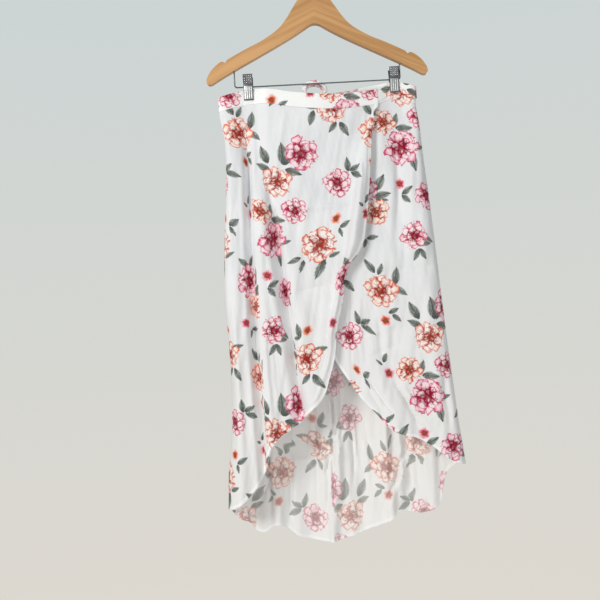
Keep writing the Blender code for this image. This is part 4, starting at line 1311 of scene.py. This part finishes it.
def panel(piece, columns, rows, finish):
    """Sews one panel, from the seam under its waistband down to its hem."""
    sewn = [isinstance(edge, float) for edge in (piece.left, piece.right)]
    steps = [EDGE_STEPS if at_seam else HEM_STEPS_ACROSS for at_seam in sewn]
    across = spaced(columns, *steps)
    down = spaced(rows, TOP_STEPS, HEM_STEPS_DOWN)
    top = seam_line(piece.seam, piece.start + (piece.end - piece.start) * across)
    sides = []
    for side, corner, edge in (("left", top[0], piece.left), ("right", top[-1], piece.right)):
        if isinstance(edge, float):
            sides.append(side_edge(side, corner[1], edge, down))
        else:
            sides.append(along((tuple(corner),) + edge, down))
    left, right = sides
    bottom = along((tuple(left[-1]),) + piece.hem + (tuple(right[-1]),), across)
    places = patch(top, bottom, left, right)
    free = [places[:, at] for at, at_seam in zip((0, -1), sewn) if not at_seam]
    walls = hem_walls(places, [places[-1], *free])
    points = layer_points(places[..., 0], places[..., 1], piece.depth, piece.facing)
    flat = flat_places(points, piece.grain, piece.tucks)
    for at_end, at_seam in ((True, sewn[1]), (False, sewn[0])):
        if at_seam:
            points, flat, walls = turned_in(points, flat, walls, at_end)
    made = shell(piece.name, points, flat, walls, piece.facing, finish)
    finish_piece(made, piece.solid, piece.flat)


Band = namedtuple("Band", "name solid seam start end depth facing grain")
BANDS = listed(
    Band,
    (
        "over_band_cloth", "waistband_over", "front", LEFT_X, OVER_END_X, over_depth, FRONT,
        BAND_GRAIN,
    ),
    (
        "under_band_cloth", "waistband_under", "front", UNDER_END_X, RIGHT_X, under_depth, FRONT,
        UNDER_GRAIN,
    ),
    ("back_band_cloth", "waistband_back", "back", LEFT_X, RIGHT_X, back_depth, BACK, BACK_GRAIN),
)


def waistband(settings, finish):
    """The three lengths of the waistband, fullest along their middle and pressed at their edges."""
    down = np.linspace(-0.5, 0.5, settings.band_rows)[:, None]
    share = spaced(settings.band_columns, EDGE_STEPS, EDGE_STEPS)
    pressed = np.abs(np.linspace(-1, 1, settings.band_rows)) ** BAND_PRESS_SHARPNESS
    wall = (BAND_CLOTH_WALL * (1 - BAND_PRESS * pressed))[:, None]
    for band in BANDS:
        x = band.start + (band.end - band.start) * share
        drop = read(BAND_TOPS, "x", band.seam, x) + BAND_HEIGHT / 2 + BAND_HEIGHT * down
        points = layer_points(np.broadcast_to(x, drop.shape), drop, band.depth, band.facing)
        walls = np.broadcast_to(wall, drop.shape)
        flat = flat_places(points, band.grain)
        if band.start == LEFT_X:
            points, flat, walls = turned_in(points, flat, walls, False)
        if band.end == RIGHT_X:
            points, flat, walls = turned_in(points, flat, walls, True)
        made = shell(band.name, points, flat, walls, band.facing, finish)
        flat_size = ((band.end - band.start) * MM, BAND_HEIGHT * MM)
        finish_piece(made, band.solid, flat_size)


def ribbon(name, node, points, print_start, flat_size, finish):
    """A tie: a narrow double strip along its grid of points, rows across its width."""
    step = np.linalg.norm(np.diff(points, axis=1), axis=-1)
    run = np.concatenate([np.zeros((len(points), 1)), np.cumsum(step, axis=1)], axis=1)
    rise = np.linalg.norm(np.diff(points, axis=0), axis=-1)
    width = np.concatenate([np.zeros((1, points.shape[1])), np.cumsum(rise, axis=0)])
    flat = np.stack([run + print_start[0], width + print_start[1]], axis=-1)
    made = shell(name, points, flat, TIE_CLOTH_WALL, FRONT, finish)
    finish_piece(made, node, (flat_size[0] * MM, flat_size[1] * MM))


def ties(settings, finish):
    """Both ties: from the over front's waistband round the right side, and from the left side."""
    rows = settings.tie_rows
    start = OVER_END_X + SEAM_GAP
    front_x = np.linspace(start, RIGHT_X, TIE_FRONT_STEPS)
    turn = RIGHT_X - SIDE_REACH_TOP * np.linspace(1, 0, RIGHT_TURN_STEPS) ** 2
    front_x = np.unique(np.concatenate([front_x[front_x < turn[0]], turn]))
    front = strip(front_x, read(TIE_ROUTE, "x", "drop", front_x), under_depth, FRONT, rows)
    knot_side = KNOT_X + KNOT_HALF_WIDTH + SEAM_GAP
    back_x = np.linspace(knot_side, turn[0], TIE_BACK_STEPS)
    back_x = np.unique(np.concatenate([back_x, turn]))
    behind = strip(back_x, tie_middle(back_x), back_depth, BACK, rows)[:, ::-1]
    behind[:, 0, 2] = front[:, -1, 2]
    around = moved_out(np.concatenate([front, behind], axis=1), TIE_OFFSET)
    around[..., 0] += TIE_ROUND * ease(1 - (RIGHT_X - around[..., 0]) / SIDE_REACH_TOP)
    length = RIGHT_X - start + RIGHT_X - knot_side
    ribbon("right_tie_cloth", "tie_right", around, RIGHT_TIE_PRINT, (length, TIE_WIDTH),
           finish)
    knot_side = KNOT_X - KNOT_HALF_WIDTH - SEAM_GAP
    turn = LEFT_X + SEAM_GAP + SIDE_REACH_TOP * np.linspace(0, 1, LEFT_TURN_STEPS) ** 2
    left_x = np.unique(np.concatenate([turn, np.linspace(turn[-1], knot_side, TIE_BACK_STEPS)]))
    behind = strip(left_x, tie_middle(left_x), back_depth, BACK, rows)[:, ::-1]
    ribbon("left_tie_cloth", "tie_left", moved_out(behind, TIE_OFFSET), LEFT_TIE_PRINT,
           (knot_side - LEFT_X, TIE_WIDTH), finish)


def bow(settings, finish):
    bow_loop(settings, finish)
    bow_knot(finish, settings.knot_steps)
    bow_tails(settings, finish)


def bow_loop(settings, finish):
    """The loop, which stands up from the knot and leans to the front."""
    knot_top = tie_middle(KNOT_X) - KNOT_HALF_HEIGHT - SEAM_GAP
    route = along(TIE_LOOP_ROUTE, np.linspace(0, 1, settings.loop_columns + 1))
    route[:, 1] = np.minimum(route[:, 1], knot_top - TIE_WALL / 2)
    run = np.gradient(route, axis=0)
    outward = np.stack([run[:, 1], -run[:, 0]], axis=-1)
    outward /= np.linalg.norm(outward, axis=-1, keepdims=True)
    height = (knot_top - route[:, 1]) / (knot_top - route[:, 1].min())
    ends = ease(height * 2)
    knots = np.arange(len(TIE_LOOP_SECTION), dtype=float)
    share = np.linspace(0, knots[-1], settings.tie_rows + 2)
    backs = curve(share, knots, column(TIE_LOOP_SECTION, "back"))
    outs = curve(share, knots, column(TIE_LOOP_SECTION, "out"))
    points = []
    for back_here, out_here in zip(backs, outs):
        narrowing = (1 - ends) * (LOOP_FOOT_BACK - back_here) * LOOP_FOOT_NARROWING
        place = route + outward * (out_here * ends)[:, None]
        back_there = back_here + narrowing - LOOP_LEAN * height
        points.append(np.stack([place[:, 0], back_there, -place[:, 1]], axis=-1))
    ribbon("bow_loop_cloth", "tie_loop", np.array(points), LOOP_PRINT, (LOOP_LENGTH, TIE_WIDTH),
           finish)


def bow_tails(settings, finish):
    """The free ends, which hang from the knot and lie on the back's cloth."""
    top = tie_middle(KNOT_X) + KNOT_HALF_HEIGHT + SEAM_GAP
    down = np.linspace(0, 1, settings.tail_rows + 1)[None]
    across = np.linspace(-0.5, 0.5, settings.tie_rows)[:, None]
    for tail in TIE_TAILS:
        drop = top + tail.length * down + TAIL_SLANT * (across + 0.5) * down
        x = tail.start_x + (tail.end_x - tail.start_x) * down + TAIL_WIDTH * across
        points = layer_points(x, drop, back_depth, BACK)
        raised = np.max(back_cloth_depth(x, drop) - back_depth(x, drop), axis=0, keepdims=True)
        points[..., 1] += TIE_OFFSET + TAIL_LIFT * ease(down / TAIL_LIFT_END)
        points[..., 1] += np.maximum(raised - TAIL_SINK, 0)
        ribbon(tail.name, tail.solid, points, (tail.print_start, TAIL_PRINT_DOWN),
               (tail.length, TAIL_WIDTH), finish)


def bow_knot(finish, knot_steps):
    """The knot: a band of cloth wound once over the bow's middle, closed at both ends."""
    drop = tie_middle(KNOT_X)
    rear = back_depth(KNOT_X, drop) + BAND_WALL / 2 + SEAM_GAP + KNOT_CLEARANCE
    around = np.linspace(0, 2 * np.pi, knot_steps, endpoint=False)[:, None]
    across = np.linspace(-1, 1, knot_steps // 2)[None]
    swell = 1 - KNOT_END_LOSS * np.abs(across) ** 4
    winding = across * PLEAT_TURNS + PLEAT_WANDER * np.sin(around)
    pleat = 1 + PLEAT_RISE * np.sin(winding) * np.sin(around / 2)
    rise, reach = (
        np.sign(round_share) * np.abs(round_share) ** KNOT_SQUARENESS
        for round_share in (np.sin(around), np.cos(around))
    )
    x = KNOT_X + KNOT_HALF_WIDTH * across * (1 - KNOT_SIDE_ROUND * np.abs(rise))
    y = rear + KNOT_THICKNESS / 2 * (1 + KNOT_DEPTH_SHARE * reach * swell * pleat)
    z = -drop + KNOT_HALF_HEIGHT * rise * swell * pleat * KNOT_HEIGHT_SHARE
    points = np.stack(np.broadcast_arrays(x, y, z), axis=-1)
    steps, columns, _ = points.shape
    index = np.arange(steps * columns).reshape(steps, columns)
    ahead = np.roll(index, -1, axis=0)
    quads = np.stack([index[:, :-1], ahead[:, :-1], ahead[:, 1:], index[:, 1:]], axis=-1)
    quads = quads.reshape(-1, 4)
    mesh = bpy.data.meshes.new("bow_knot_cloth")
    mesh.from_pydata((points.reshape(-1, 3) * MM).tolist(), [], quads.tolist())
    cage = bmesh.new()
    cage.from_mesh(mesh)
    ends = [edge for edge in cage.edges if edge.is_boundary]
    bmesh.ops.holes_fill(cage, edges=ends, sides=0)
    bmesh.ops.triangulate(cage, faces=[face for face in cage.faces if len(face.verts) > 4])
    bmesh.ops.recalc_face_normals(cage, faces=cage.faces)
    cage.to_mesh(mesh)
    cage.free()
    width = np.array([vertex.co.x for vertex in mesh.vertices]) / MM
    height = np.array([vertex.co.z for vertex in mesh.vertices]) / MM
    starts = np.array([loop.vertex_index for loop in mesh.loops])
    flat = np.stack([width, -height], axis=-1)[starts]
    centres = np.zeros((len(mesh.polygons), 2))
    for polygon in mesh.polygons:
        centres[polygon.index] = flat[list(polygon.loop_indices)].mean(axis=0)
    paint_places(mesh, flat, centres)
    mesh.shade_smooth()
    set_in_frame(placed(mesh, finish), "tie_knot")


# ---- the hanger --------------------------------------------------------------------------------


FINISHES = {}


def shared_finish(name):
    """One material for all pieces of a kind, made when it is first needed."""
    if name not in FINISHES:
        scene = bpy.context.scene
        colours = scene.skirt_hanger
        makers = {
            "cloth": lambda: cloth_finish(scene.skirt_cloth),
            "wood": lambda: wood_finish(colours),
            "chrome": lambda: metal_finish("bright_plating", tuple(colours.chrome), 0.24),
            "clip": lambda: clip_finish(colours),
            "dark_steel": lambda: metal_finish("dull_plating", tuple(colours.steel_and_painted_shade), 0.42),
        }
        FINISHES[name] = makers[name]()
    return FINISHES[name]


def hanger():
    wooden_arms()
    for node, finish in (("hanger_hook", "chrome"), ("hanger_bar", "dark_steel")):
        materials = frame["nodes"][node].data.materials
        materials.clear()
        materials.append(shared_finish(finish))


def wooden_arms():
    """The hanger's wood: a flat outline, extruded and then inset in steps that round its edges."""
    right = [(point.x, point.drop) for point in WOOD_OUTLINE]
    left = [(-x, drop) for x, drop in right[:0:-1]]
    outline = along(left + right, np.linspace(0, 1, WOOD_STEPS + 1))[:-1]
    deselect()
    bpy.ops.mesh.primitive_circle_add(
        vertices=WOOD_STEPS, radius=HANGER_WIDTH / 2 * MM, location=(0, 0, -BAR_DROP * MM)
    )
    made = bpy.context.object
    bpy.ops.object.transform_apply(location=True, rotation=True, scale=True)
    for vertex, (x, drop) in zip(made.data.vertices, outline):
        vertex.co = Vector((x, -WOOD_FLAT / 2, -drop)) * MM
    bpy.ops.object.mode_set(mode="EDIT")
    bpy.ops.mesh.select_all(action="SELECT")
    bpy.ops.mesh.edge_face_add()
    thickness = Vector((0, WOOD_FLAT, 0)) * MM
    bpy.ops.mesh.extrude_region_move(TRANSFORM_OT_translate={"value": thickness})
    bpy.ops.mesh.select_all(action="SELECT")
    bpy.ops.mesh.normals_make_consistent(inside=False)
    for facing in (FRONT, BACK):
        bpy.ops.object.mode_set(mode="OBJECT")
        for face in made.data.polygons:
            face.select = facing * face.normal.y > 0.9
        bpy.ops.object.mode_set(mode="EDIT")
        bpy.ops.mesh.select_mode(type="FACE")
        for inwards, outwards in WOOD_EDGE_STEPS:
            bpy.ops.mesh.inset(thickness=inwards * MM, depth=outwards * MM)
    bpy.ops.object.mode_set(mode="OBJECT")
    deselect()
    made.select_set(True)
    bpy.ops.object.shade_smooth_by_angle(angle=WOOD_SHARP)
    made.name = made.data.name = "wooden_arms"
    made.data.materials.append(shared_finish("wood"))
    set_in_frame(made, "hanger_wood")


def jaw_profile(tip):
    """How far a jaw's sheet stands out from the middle plane, from its handle down to its tip.
    Below the handle it closes in with a slight bulge, and then runs down flat against the cloth."""
    bent = (HANDLE_BENDS[-1].out + tip) / 2 + 0.4
    flat = listed(Bend, (bent, 251.5), (tip + 0.1, 258.0), (tip, 264.0), (tip, JAW_TIP))
    return HANDLE_BENDS + flat


def profile_out(profile, drop):
    """How far out a jaw's sheet stands at a drop."""
    return float(read(profile, "drop", "out", drop))


def deselect():
    if bpy.context.object and bpy.context.object.mode != "OBJECT":
        bpy.ops.object.mode_set(mode="OBJECT")
    bpy.ops.object.select_all(action="DESELECT")


def bent_strip(x, width, thickness, profile, facing):
    """A strip of sheet metal, extruded down a profile from a short block at its top."""
    deselect()
    first = profile[0]
    start = Vector((x, facing * first.out, -first.drop - STRIP_START / 2)) * MM
    size = Vector((width, thickness, STRIP_START)) * MM
    bpy.ops.mesh.primitive_cube_add(size=1, location=start, scale=size)
    made = bpy.context.object
    bpy.ops.object.transform_apply(location=True, rotation=False, scale=True)
    lowest = min(made.data.polygons, key=lambda face: face.center.z)
    for face in made.data.polygons:
        face.select = face == lowest
    for edge in made.data.edges:
        edge.select = False
    for vertex in made.data.vertices:
        vertex.select = vertex.index in set(lowest.vertices)
    bpy.ops.object.mode_set(mode="EDIT")
    here = Bend(first.out, first.drop + STRIP_START)
    for point in profile[1:]:
        step = Vector((0, facing * (point.out - here.out), here.drop - point.drop)) * MM
        bpy.ops.mesh.extrude_region_move(TRANSFORM_OT_translate={"value": step})
        here = point
    bpy.ops.object.mode_set(mode="OBJECT")
    rounded = made.modifiers.new("rounded", "BEVEL")
    rounded.width = METAL_BEVEL * MM
    rounded.segments = 2
    rounded.angle_limit = BEVEL_ANGLE
    bpy.ops.object.modifier_apply(modifier=rounded.name)
    return made


def joined(pieces, name):
    """The pieces as one object."""
    deselect()
    for piece in pieces:
        piece.select_set(True)
    bpy.context.view_layer.objects.active = pieces[0]
    bpy.ops.object.join()
    made = bpy.context.object
    made.name = made.data.name = name
    bpy.ops.object.shade_smooth_by_angle(angle=METAL_SHARP)
    return made


def applied(piece):
    """The piece, with its place and size moved into its mesh."""
    deselect()
    piece.select_set(True)
    bpy.context.view_layer.objects.active = piece
    bpy.ops.object.transform_apply(location=True, rotation=True, scale=True)
    return piece


def jaw(name, node, clip_x, facing, tip):
    """One jaw: a bent plate with raised ribs, rows of grip bumps on its handle, and teeth."""
    profile = jaw_profile(tip)
    face = JAW_SHEET / 2
    rib_drops = np.linspace(RIB_TOP, RIB_FOOT, RIB_BENDS)
    lower = [Bend(profile_out(profile, drop) + face, drop) for drop in rib_drops]
    plates = [bent_strip(clip_x, JAW_WIDTH, JAW_SHEET, profile, facing)]
    for aside in RIB_PLACES:
        plates.append(bent_strip(clip_x + aside, RIB_WIDTH, RIB_RISE * 2, lower, facing))
    bumps, teeth = [], []
    for row in range(BUMP_ROWS):
        drop = BUMP_TOP + row * BUMP_STEP
        for aside in np.linspace(-1, 1, BUMP_COLUMNS) * BUMP_REACH:
            deselect()
            place = Vector((clip_x + aside, facing * (profile_out(profile, drop) + face), -drop))
            bpy.ops.mesh.primitive_ico_sphere_add(
                subdivisions=2, radius=BUMP_RADIUS * MM, location=place * MM
            )
            bumps.append(bpy.context.object)
    for aside in np.linspace(-1, 1, TEETH) * (JAW_WIDTH / 2 - TOOTH_INSET):
        deselect()
        place = Vector((clip_x + aside, facing * (tip + face), -(JAW_TIP - TOOTH_LIFT))) * MM
        bpy.ops.mesh.primitive_cube_add(size=1, location=place, scale=TOOTH_SIZE * MM)
        teeth.append(bpy.context.object)
    for pieces, finish in ((plates, "clip"), (bumps, "chrome"), (teeth, "clip")):
        for piece in pieces:
            applied(piece).data.materials.append(shared_finish(finish))
    set_in_frame(joined(plates + bumps + teeth, name), node)


def spring(name, node, clip_x):
    """A clip's spring: coils side by side round the bar."""
    coils = []
    pitch = BARREL_LENGTH / SPRING_COILS
    for turn in range(SPRING_COILS):
        deselect()
        aside = -BARREL_LENGTH / 2 + pitch * (turn + 0.5)
        bpy.ops.mesh.primitive_torus_add(
            location=Vector((clip_x + aside, 0, -BAR_DROP)) * MM,
            rotation=(0, math.radians(90), 0),
            major_segments=COIL_STEPS,
            minor_segments=WIRE_STEPS,
            major_radius=(BARREL_RADIUS - pitch / 2) * MM,
            minor_radius=pitch / 2 * MM,
        )
        coils.append(applied(bpy.context.object))
    made = joined(coils, name)
    made.data.materials.append(shared_finish("clip"))
    set_in_frame(made, node)


def clips():
    for side, clip_x in (("left", LEFT_CLIP_X), ("right", RIGHT_CLIP_X)):
        for which, facing, tip in zip(("front", "back"), (FRONT, BACK), CLIP_TIPS[side]):
            jaw(f"{side}_{which}_jaw", f"clip_{side}_{which}_jaw", clip_x, facing, tip)
        spring(f"{side}_spring", f"clip_{side}_barrel", clip_x)


# ---- the stage ---------------------------------------------------------------------------------

CAMERA_PLACE = (-0.0588, -1.363, -0.682)
CAMERA_TURN = math.radians(3.0)
VIEW_HALF_SLOPE = 613.2 / 1363
AIM = Vector((0.0, 0.0, -0.65))
Light = namedtuple("Light", "name place size power colour glossy", defaults=(True,))
# The power is the name of its setting
LIGHTS = listed(
    Light,
    ("key_light", (-1.55, -1.65, 0.25), 0.7, "key_power", (1.0, 0.99, 0.97)),
    ("fill_light", (0.45, -2.3, -1.6), 1.2, "fill_power", (0.95, 0.97, 1.0)),
    ("rear_light", (1.5, 2.0, 0.1), 1.0, "rear_power", (1.0, 0.99, 0.97), False),
)


def soft_light(light, power):
    """A square light, aimed at the skirt's middle and unseen by the camera."""
    lamp = bpy.data.lights.new(light.name, "AREA")
    lamp.size = light.size
    lamp.energy = power
    lamp.color = light.colour
    made = bpy.data.objects.new(light.name, lamp)
    made.location = light.place
    made.rotation_euler = (AIM - Vector(light.place)).to_track_quat("-Z", "Y").to_euler()
    made.visible_camera = False
    made.visible_glossy = light.glossy
    bpy.context.scene.collection.objects.link(made)


def set_surroundings(settings):
    """Soft light from all round, a little cooler above the view than below it. What the camera sees
    of it is brighter than what falls on the skirt."""
    world = bpy.data.worlds.new("studio")
    world.use_nodes = True
    nodes, links = world.node_tree.nodes, world.node_tree.links
    surroundings = nodes["Background"]
    direction = nodes.new("ShaderNodeSeparateXYZ")
    links.new(nodes.new("ShaderNodeTexCoord").outputs["Generated"], direction.inputs[0])
    height = nodes.new("ShaderNodeMapRange")
    height.inputs["From Min"].default_value = -VIEW_HALF_SLOPE
    height.inputs["From Max"].default_value = VIEW_HALF_SLOPE
    links.new(direction.outputs["Z"], height.inputs["Value"])
    shades = nodes.new("ShaderNodeMix")
    shades.data_type = "RGBA"
    shades.inputs[6].default_value = (*settings.below, 1)
    shades.inputs[7].default_value = (*settings.above, 1)
    links.new(height.outputs[0], shades.inputs[0])
    links.new(shades.outputs[2], surroundings.inputs["Color"])
    seen = nodes.new("ShaderNodeLightPath")
    strength = nodes.new("ShaderNodeMapRange")
    strength.inputs["To Min"].default_value = settings.ambient
    strength.inputs["To Max"].default_value = 1.0
    links.new(seen.outputs["Is Camera Ray"], strength.inputs["Value"])
    links.new(strength.outputs[0], surroundings.inputs["Strength"])
    bpy.context.scene.world = world


def stage(settings):
    """The camera, the surroundings, the lights and a pale round floor that fades out."""
    view = bpy.data.cameras.new("camera")
    view.sensor_width = 36
    view.angle = 2 * math.atan(VIEW_HALF_SLOPE)
    view.clip_end = 20
    camera = bpy.data.objects.new("camera", view)
    camera.location = CAMERA_PLACE
    camera.rotation_euler = (math.radians(90), CAMERA_TURN, 0)
    bpy.context.scene.collection.objects.link(camera)
    bpy.context.scene.camera = camera
    set_surroundings(settings)
    bpy.context.scene.view_settings.view_transform = "Standard"
    for light in LIGHTS:
        soft_light(light, getattr(settings, light.power))
    bpy.ops.mesh.primitive_circle_add(
        vertices=96, radius=settings.floor_radius, fill_type="NGON",
        location=(0, 0, -settings.floor_drop))
    bpy.ops.object.transform_apply(location=True, rotation=True, scale=True)
    floor = bpy.context.object
    floor.name = "studio_floor"
    pale = Finish("studio_floor", 0.9)
    x, y, _ = pale.split(pale.places())
    away = pale.math("SQRT", x * x + y * y) / settings.floor_radius
    faded = 1 - away.between(0.3, 1.0)
    floor.data.materials.append(pale.shade(Base_Color=tuple(settings.floor), Alpha=faded))


# ---- settings, operators and panel -------------------------------------------------------------


def colour(name, description, default):
    return bpy.props.FloatVectorProperty(
        name=name, description=description, default=default, subtype="COLOR"
    )


def count(name, description, default, least):
    return bpy.props.IntProperty(name=name, description=description, default=default, min=least)


def share(name, description, default):
    return bpy.props.FloatProperty(
        name=name, description=description, default=default, min=0, max=1, subtype="FACTOR"
    )


def amount(name, description, default, unit):
    return bpy.props.FloatProperty(name=name, description=description, default=default, unit=unit)


class ClothSettings(bpy.types.PropertyGroup):
    """What a user would change about the printed cloth"""

    ground: colour("Ground", "Colour of the unprinted cloth", (0.835, 0.835, 0.852))
    ground_shade: colour(
        "Ground Shade", "The ground where the cloth looks greyer", (0.775, 0.775, 0.795)
    )
    ground_doubled: colour(
        "Two Layers", "The ground where the cloth is folded double", (0.95, 0.945, 0.94)
    )
    # Painted light: towards the hem the ground turns to this warmer tone, standing in for warm
    # light bounced from below
    painted_warm_bounce: colour("Ground Below", "The ground towards the hem", (0.86, 0.84, 0.82))
    # Painted paler and warmer than the ground, as painted light inside the skirt
    wrong_side: colour("Wrong Side", "Colour of the cloth's unprinted side", (0.93, 0.90, 0.86))
    wrong_side_strength: share("Print on Wrong Side", "How strongly the print shows through", 0.66)
    over_columns: count("Over Columns", "Faces across the over front", 118, 10)
    over_rows: count("Over Rows", "Faces down the over front", 250, 10)
    under_columns: count("Under Columns", "Faces across the under front", 112, 10)
    under_rows: count("Under Rows", "Faces down the under front", 220, 10)
    back_columns: count("Back Columns", "Faces across the back", 150, 10)
    back_rows: count("Back Rows", "Faces down the back", 260, 10)
    band_columns: count("Band Columns", "Faces along each waistband", 150, 10)
    band_rows: count("Band Rows", "Rows of points up each waistband", 13, 3)
    tie_rows: count("Tie Rows", "Rows of points across each tie", 9, 3)
    loop_columns: count("Loop Columns", "Faces along the bow's loop", 70, 8)
    tail_rows: count("Tail Rows", "Faces down each free end", 90, 8)
    knot_steps: count("Knot Steps", "Faces round the knot", 48, 8)


class HangerSettings(bpy.types.PropertyGroup):
    """What a user would change about the hanger"""

    wood_light: colour("Light Wood", "Wood between its growth rings", (0.68, 0.38, 0.16))
    wood_dark: colour("Dark Wood", "Wood in its growth rings", (0.50, 0.25, 0.09))
    chrome: colour("Chrome", "Plating of the hook and the clips", (0.78, 0.79, 0.80))
    # The bar's own dark plating, also used for the painted dark reflection on the clips' handles
    # and for their painted shade
    steel_and_painted_shade: colour("Bar", "Plating of the bar", (0.16, 0.16, 0.17))


class StageSettings(bpy.types.PropertyGroup):
    """What a user would change about the studio"""

    above: colour("Above", "Colour of the surroundings above the view", (0.60, 0.66, 0.66))
    below: colour("Below", "Colour of the surroundings below the view", (0.73, 0.69, 0.63))
    ambient: share("Ambient", "Share of the surroundings' light that falls on the skirt", 0.56)
    floor: colour("Floor", "Colour of the floor", (0.86, 0.83, 0.79))
    floor_radius: amount("Floor Radius", "Where the round floor fades out", 0.88, "LENGTH")
    floor_drop: amount("Floor Drop", "How far the floor lies below the rail", 1.7, "LENGTH")
    key_power: amount("Key Light", "Power of the large soft light", 32.0, "POWER")
    fill_power: amount("Fill Light", "Power of the soft light from below", 17.0, "POWER")
    rear_power: amount("Rear Light", "Power of the soft light behind", 29.0, "POWER")


class SKIRT_OT_over_front(bpy.types.Operator):
    """Sew the over front"""

    bl_idname = "skirt.over_front"
    bl_label = "Over Front"

    def execute(self, context):
        cloth = context.scene.skirt_cloth
        panel(OVER_FRONT, cloth.over_columns, cloth.over_rows, shared_finish("cloth"))
        return {"FINISHED"}


class SKIRT_OT_under_front(bpy.types.Operator):
    """Sew the under front"""

    bl_idname = "skirt.under_front"
    bl_label = "Under Front"

    def execute(self, context):
        cloth = context.scene.skirt_cloth
        panel(UNDER_FRONT, cloth.under_columns, cloth.under_rows, shared_finish("cloth"))
        return {"FINISHED"}


class SKIRT_OT_back(bpy.types.Operator):
    """Sew the long back"""

    bl_idname = "skirt.back"
    bl_label = "Back"

    def execute(self, context):
        cloth = context.scene.skirt_cloth
        panel(LONG_BACK, cloth.back_columns, cloth.back_rows, shared_finish("cloth"))
        return {"FINISHED"}


class SKIRT_OT_waistband(bpy.types.Operator):
    """Sew the three lengths of the waistband"""

    bl_idname = "skirt.waistband"
    bl_label = "Waistband"

    def execute(self, context):
        waistband(context.scene.skirt_cloth, shared_finish("cloth"))
        return {"FINISHED"}


class SKIRT_OT_ties(bpy.types.Operator):
    """Sew both ties, which run round to the back"""

    bl_idname = "skirt.ties"
    bl_label = "Ties"

    def execute(self, context):
        ties(context.scene.skirt_cloth, shared_finish("cloth"))
        return {"FINISHED"}


class SKIRT_OT_bow(bpy.types.Operator):
    """Tie the bow: its loop, its knot and its free ends"""

    bl_idname = "skirt.bow"
    bl_label = "Bow"

    def execute(self, context):
        bow(context.scene.skirt_cloth, shared_finish("cloth"))
        return {"FINISHED"}


class SKIRT_OT_hanger(bpy.types.Operator):
    """Finish the hanger's wood, hook and bar"""

    bl_idname = "skirt.hanger"
    bl_label = "Hanger"

    def execute(self, context):
        hanger()
        return {"FINISHED"}


class SKIRT_OT_clips(bpy.types.Operator):
    """Make the two clips"""

    bl_idname = "skirt.clips"
    bl_label = "Clips"

    def execute(self, context):
        clips()
        return {"FINISHED"}


class SKIRT_OT_stage(bpy.types.Operator):
    """Set the floor, the lights and the camera"""

    bl_idname = "skirt.stage"
    bl_label = "Stage"

    def execute(self, context):
        stage(context.scene.skirt_stage)
        return {"FINISHED"}


OPERATORS = (
    SKIRT_OT_stage,
    SKIRT_OT_hanger,
    SKIRT_OT_clips,
    SKIRT_OT_over_front,
    SKIRT_OT_under_front,
    SKIRT_OT_back,
    SKIRT_OT_waistband,
    SKIRT_OT_ties,
    SKIRT_OT_bow,
)
SETTINGS = (
    ("skirt_cloth", ClothSettings),
    ("skirt_hanger", HangerSettings),
    ("skirt_stage", StageSettings),
)


class SKIRT_PT_sidebar(bpy.types.Panel):
    """The skirt's pieces in the order in which they are made"""

    bl_label = "Wrap Skirt"
    bl_idname = "SKIRT_PT_sidebar"
    bl_space_type = "VIEW_3D"
    bl_region_type = "UI"
    bl_category = "Skirt"

    def draw(self, context):
        for operator in OPERATORS:
            self.layout.operator(operator.bl_idname)
        for name, _ in SETTINGS:
            group = getattr(context.scene, name)
            for prop in group.bl_rna.properties:
                if prop.identifier not in {"rna_type", "name"}:
                    self.layout.prop(group, prop.identifier)


def register():
    for _, group in SETTINGS:
        bpy.utils.register_class(group)
    for name, group in SETTINGS:
        setattr(bpy.types.Scene, name, bpy.props.PointerProperty(type=group))
    for operator in OPERATORS:
        bpy.utils.register_class(operator)
    bpy.utils.register_class(SKIRT_PT_sidebar)


def unregister():
    bpy.utils.unregister_class(SKIRT_PT_sidebar)
    for operator in reversed(OPERATORS):
        bpy.utils.unregister_class(operator)
    for name, group in reversed(SETTINGS):
        delattr(bpy.types.Scene, name)
        bpy.utils.unregister_class(group)


def main():
    register()
    for operator in OPERATORS:
        group, name = operator.bl_idname.split(".")
        getattr(getattr(bpy.ops, group), name)()


if __name__ == "__main__":
    main()
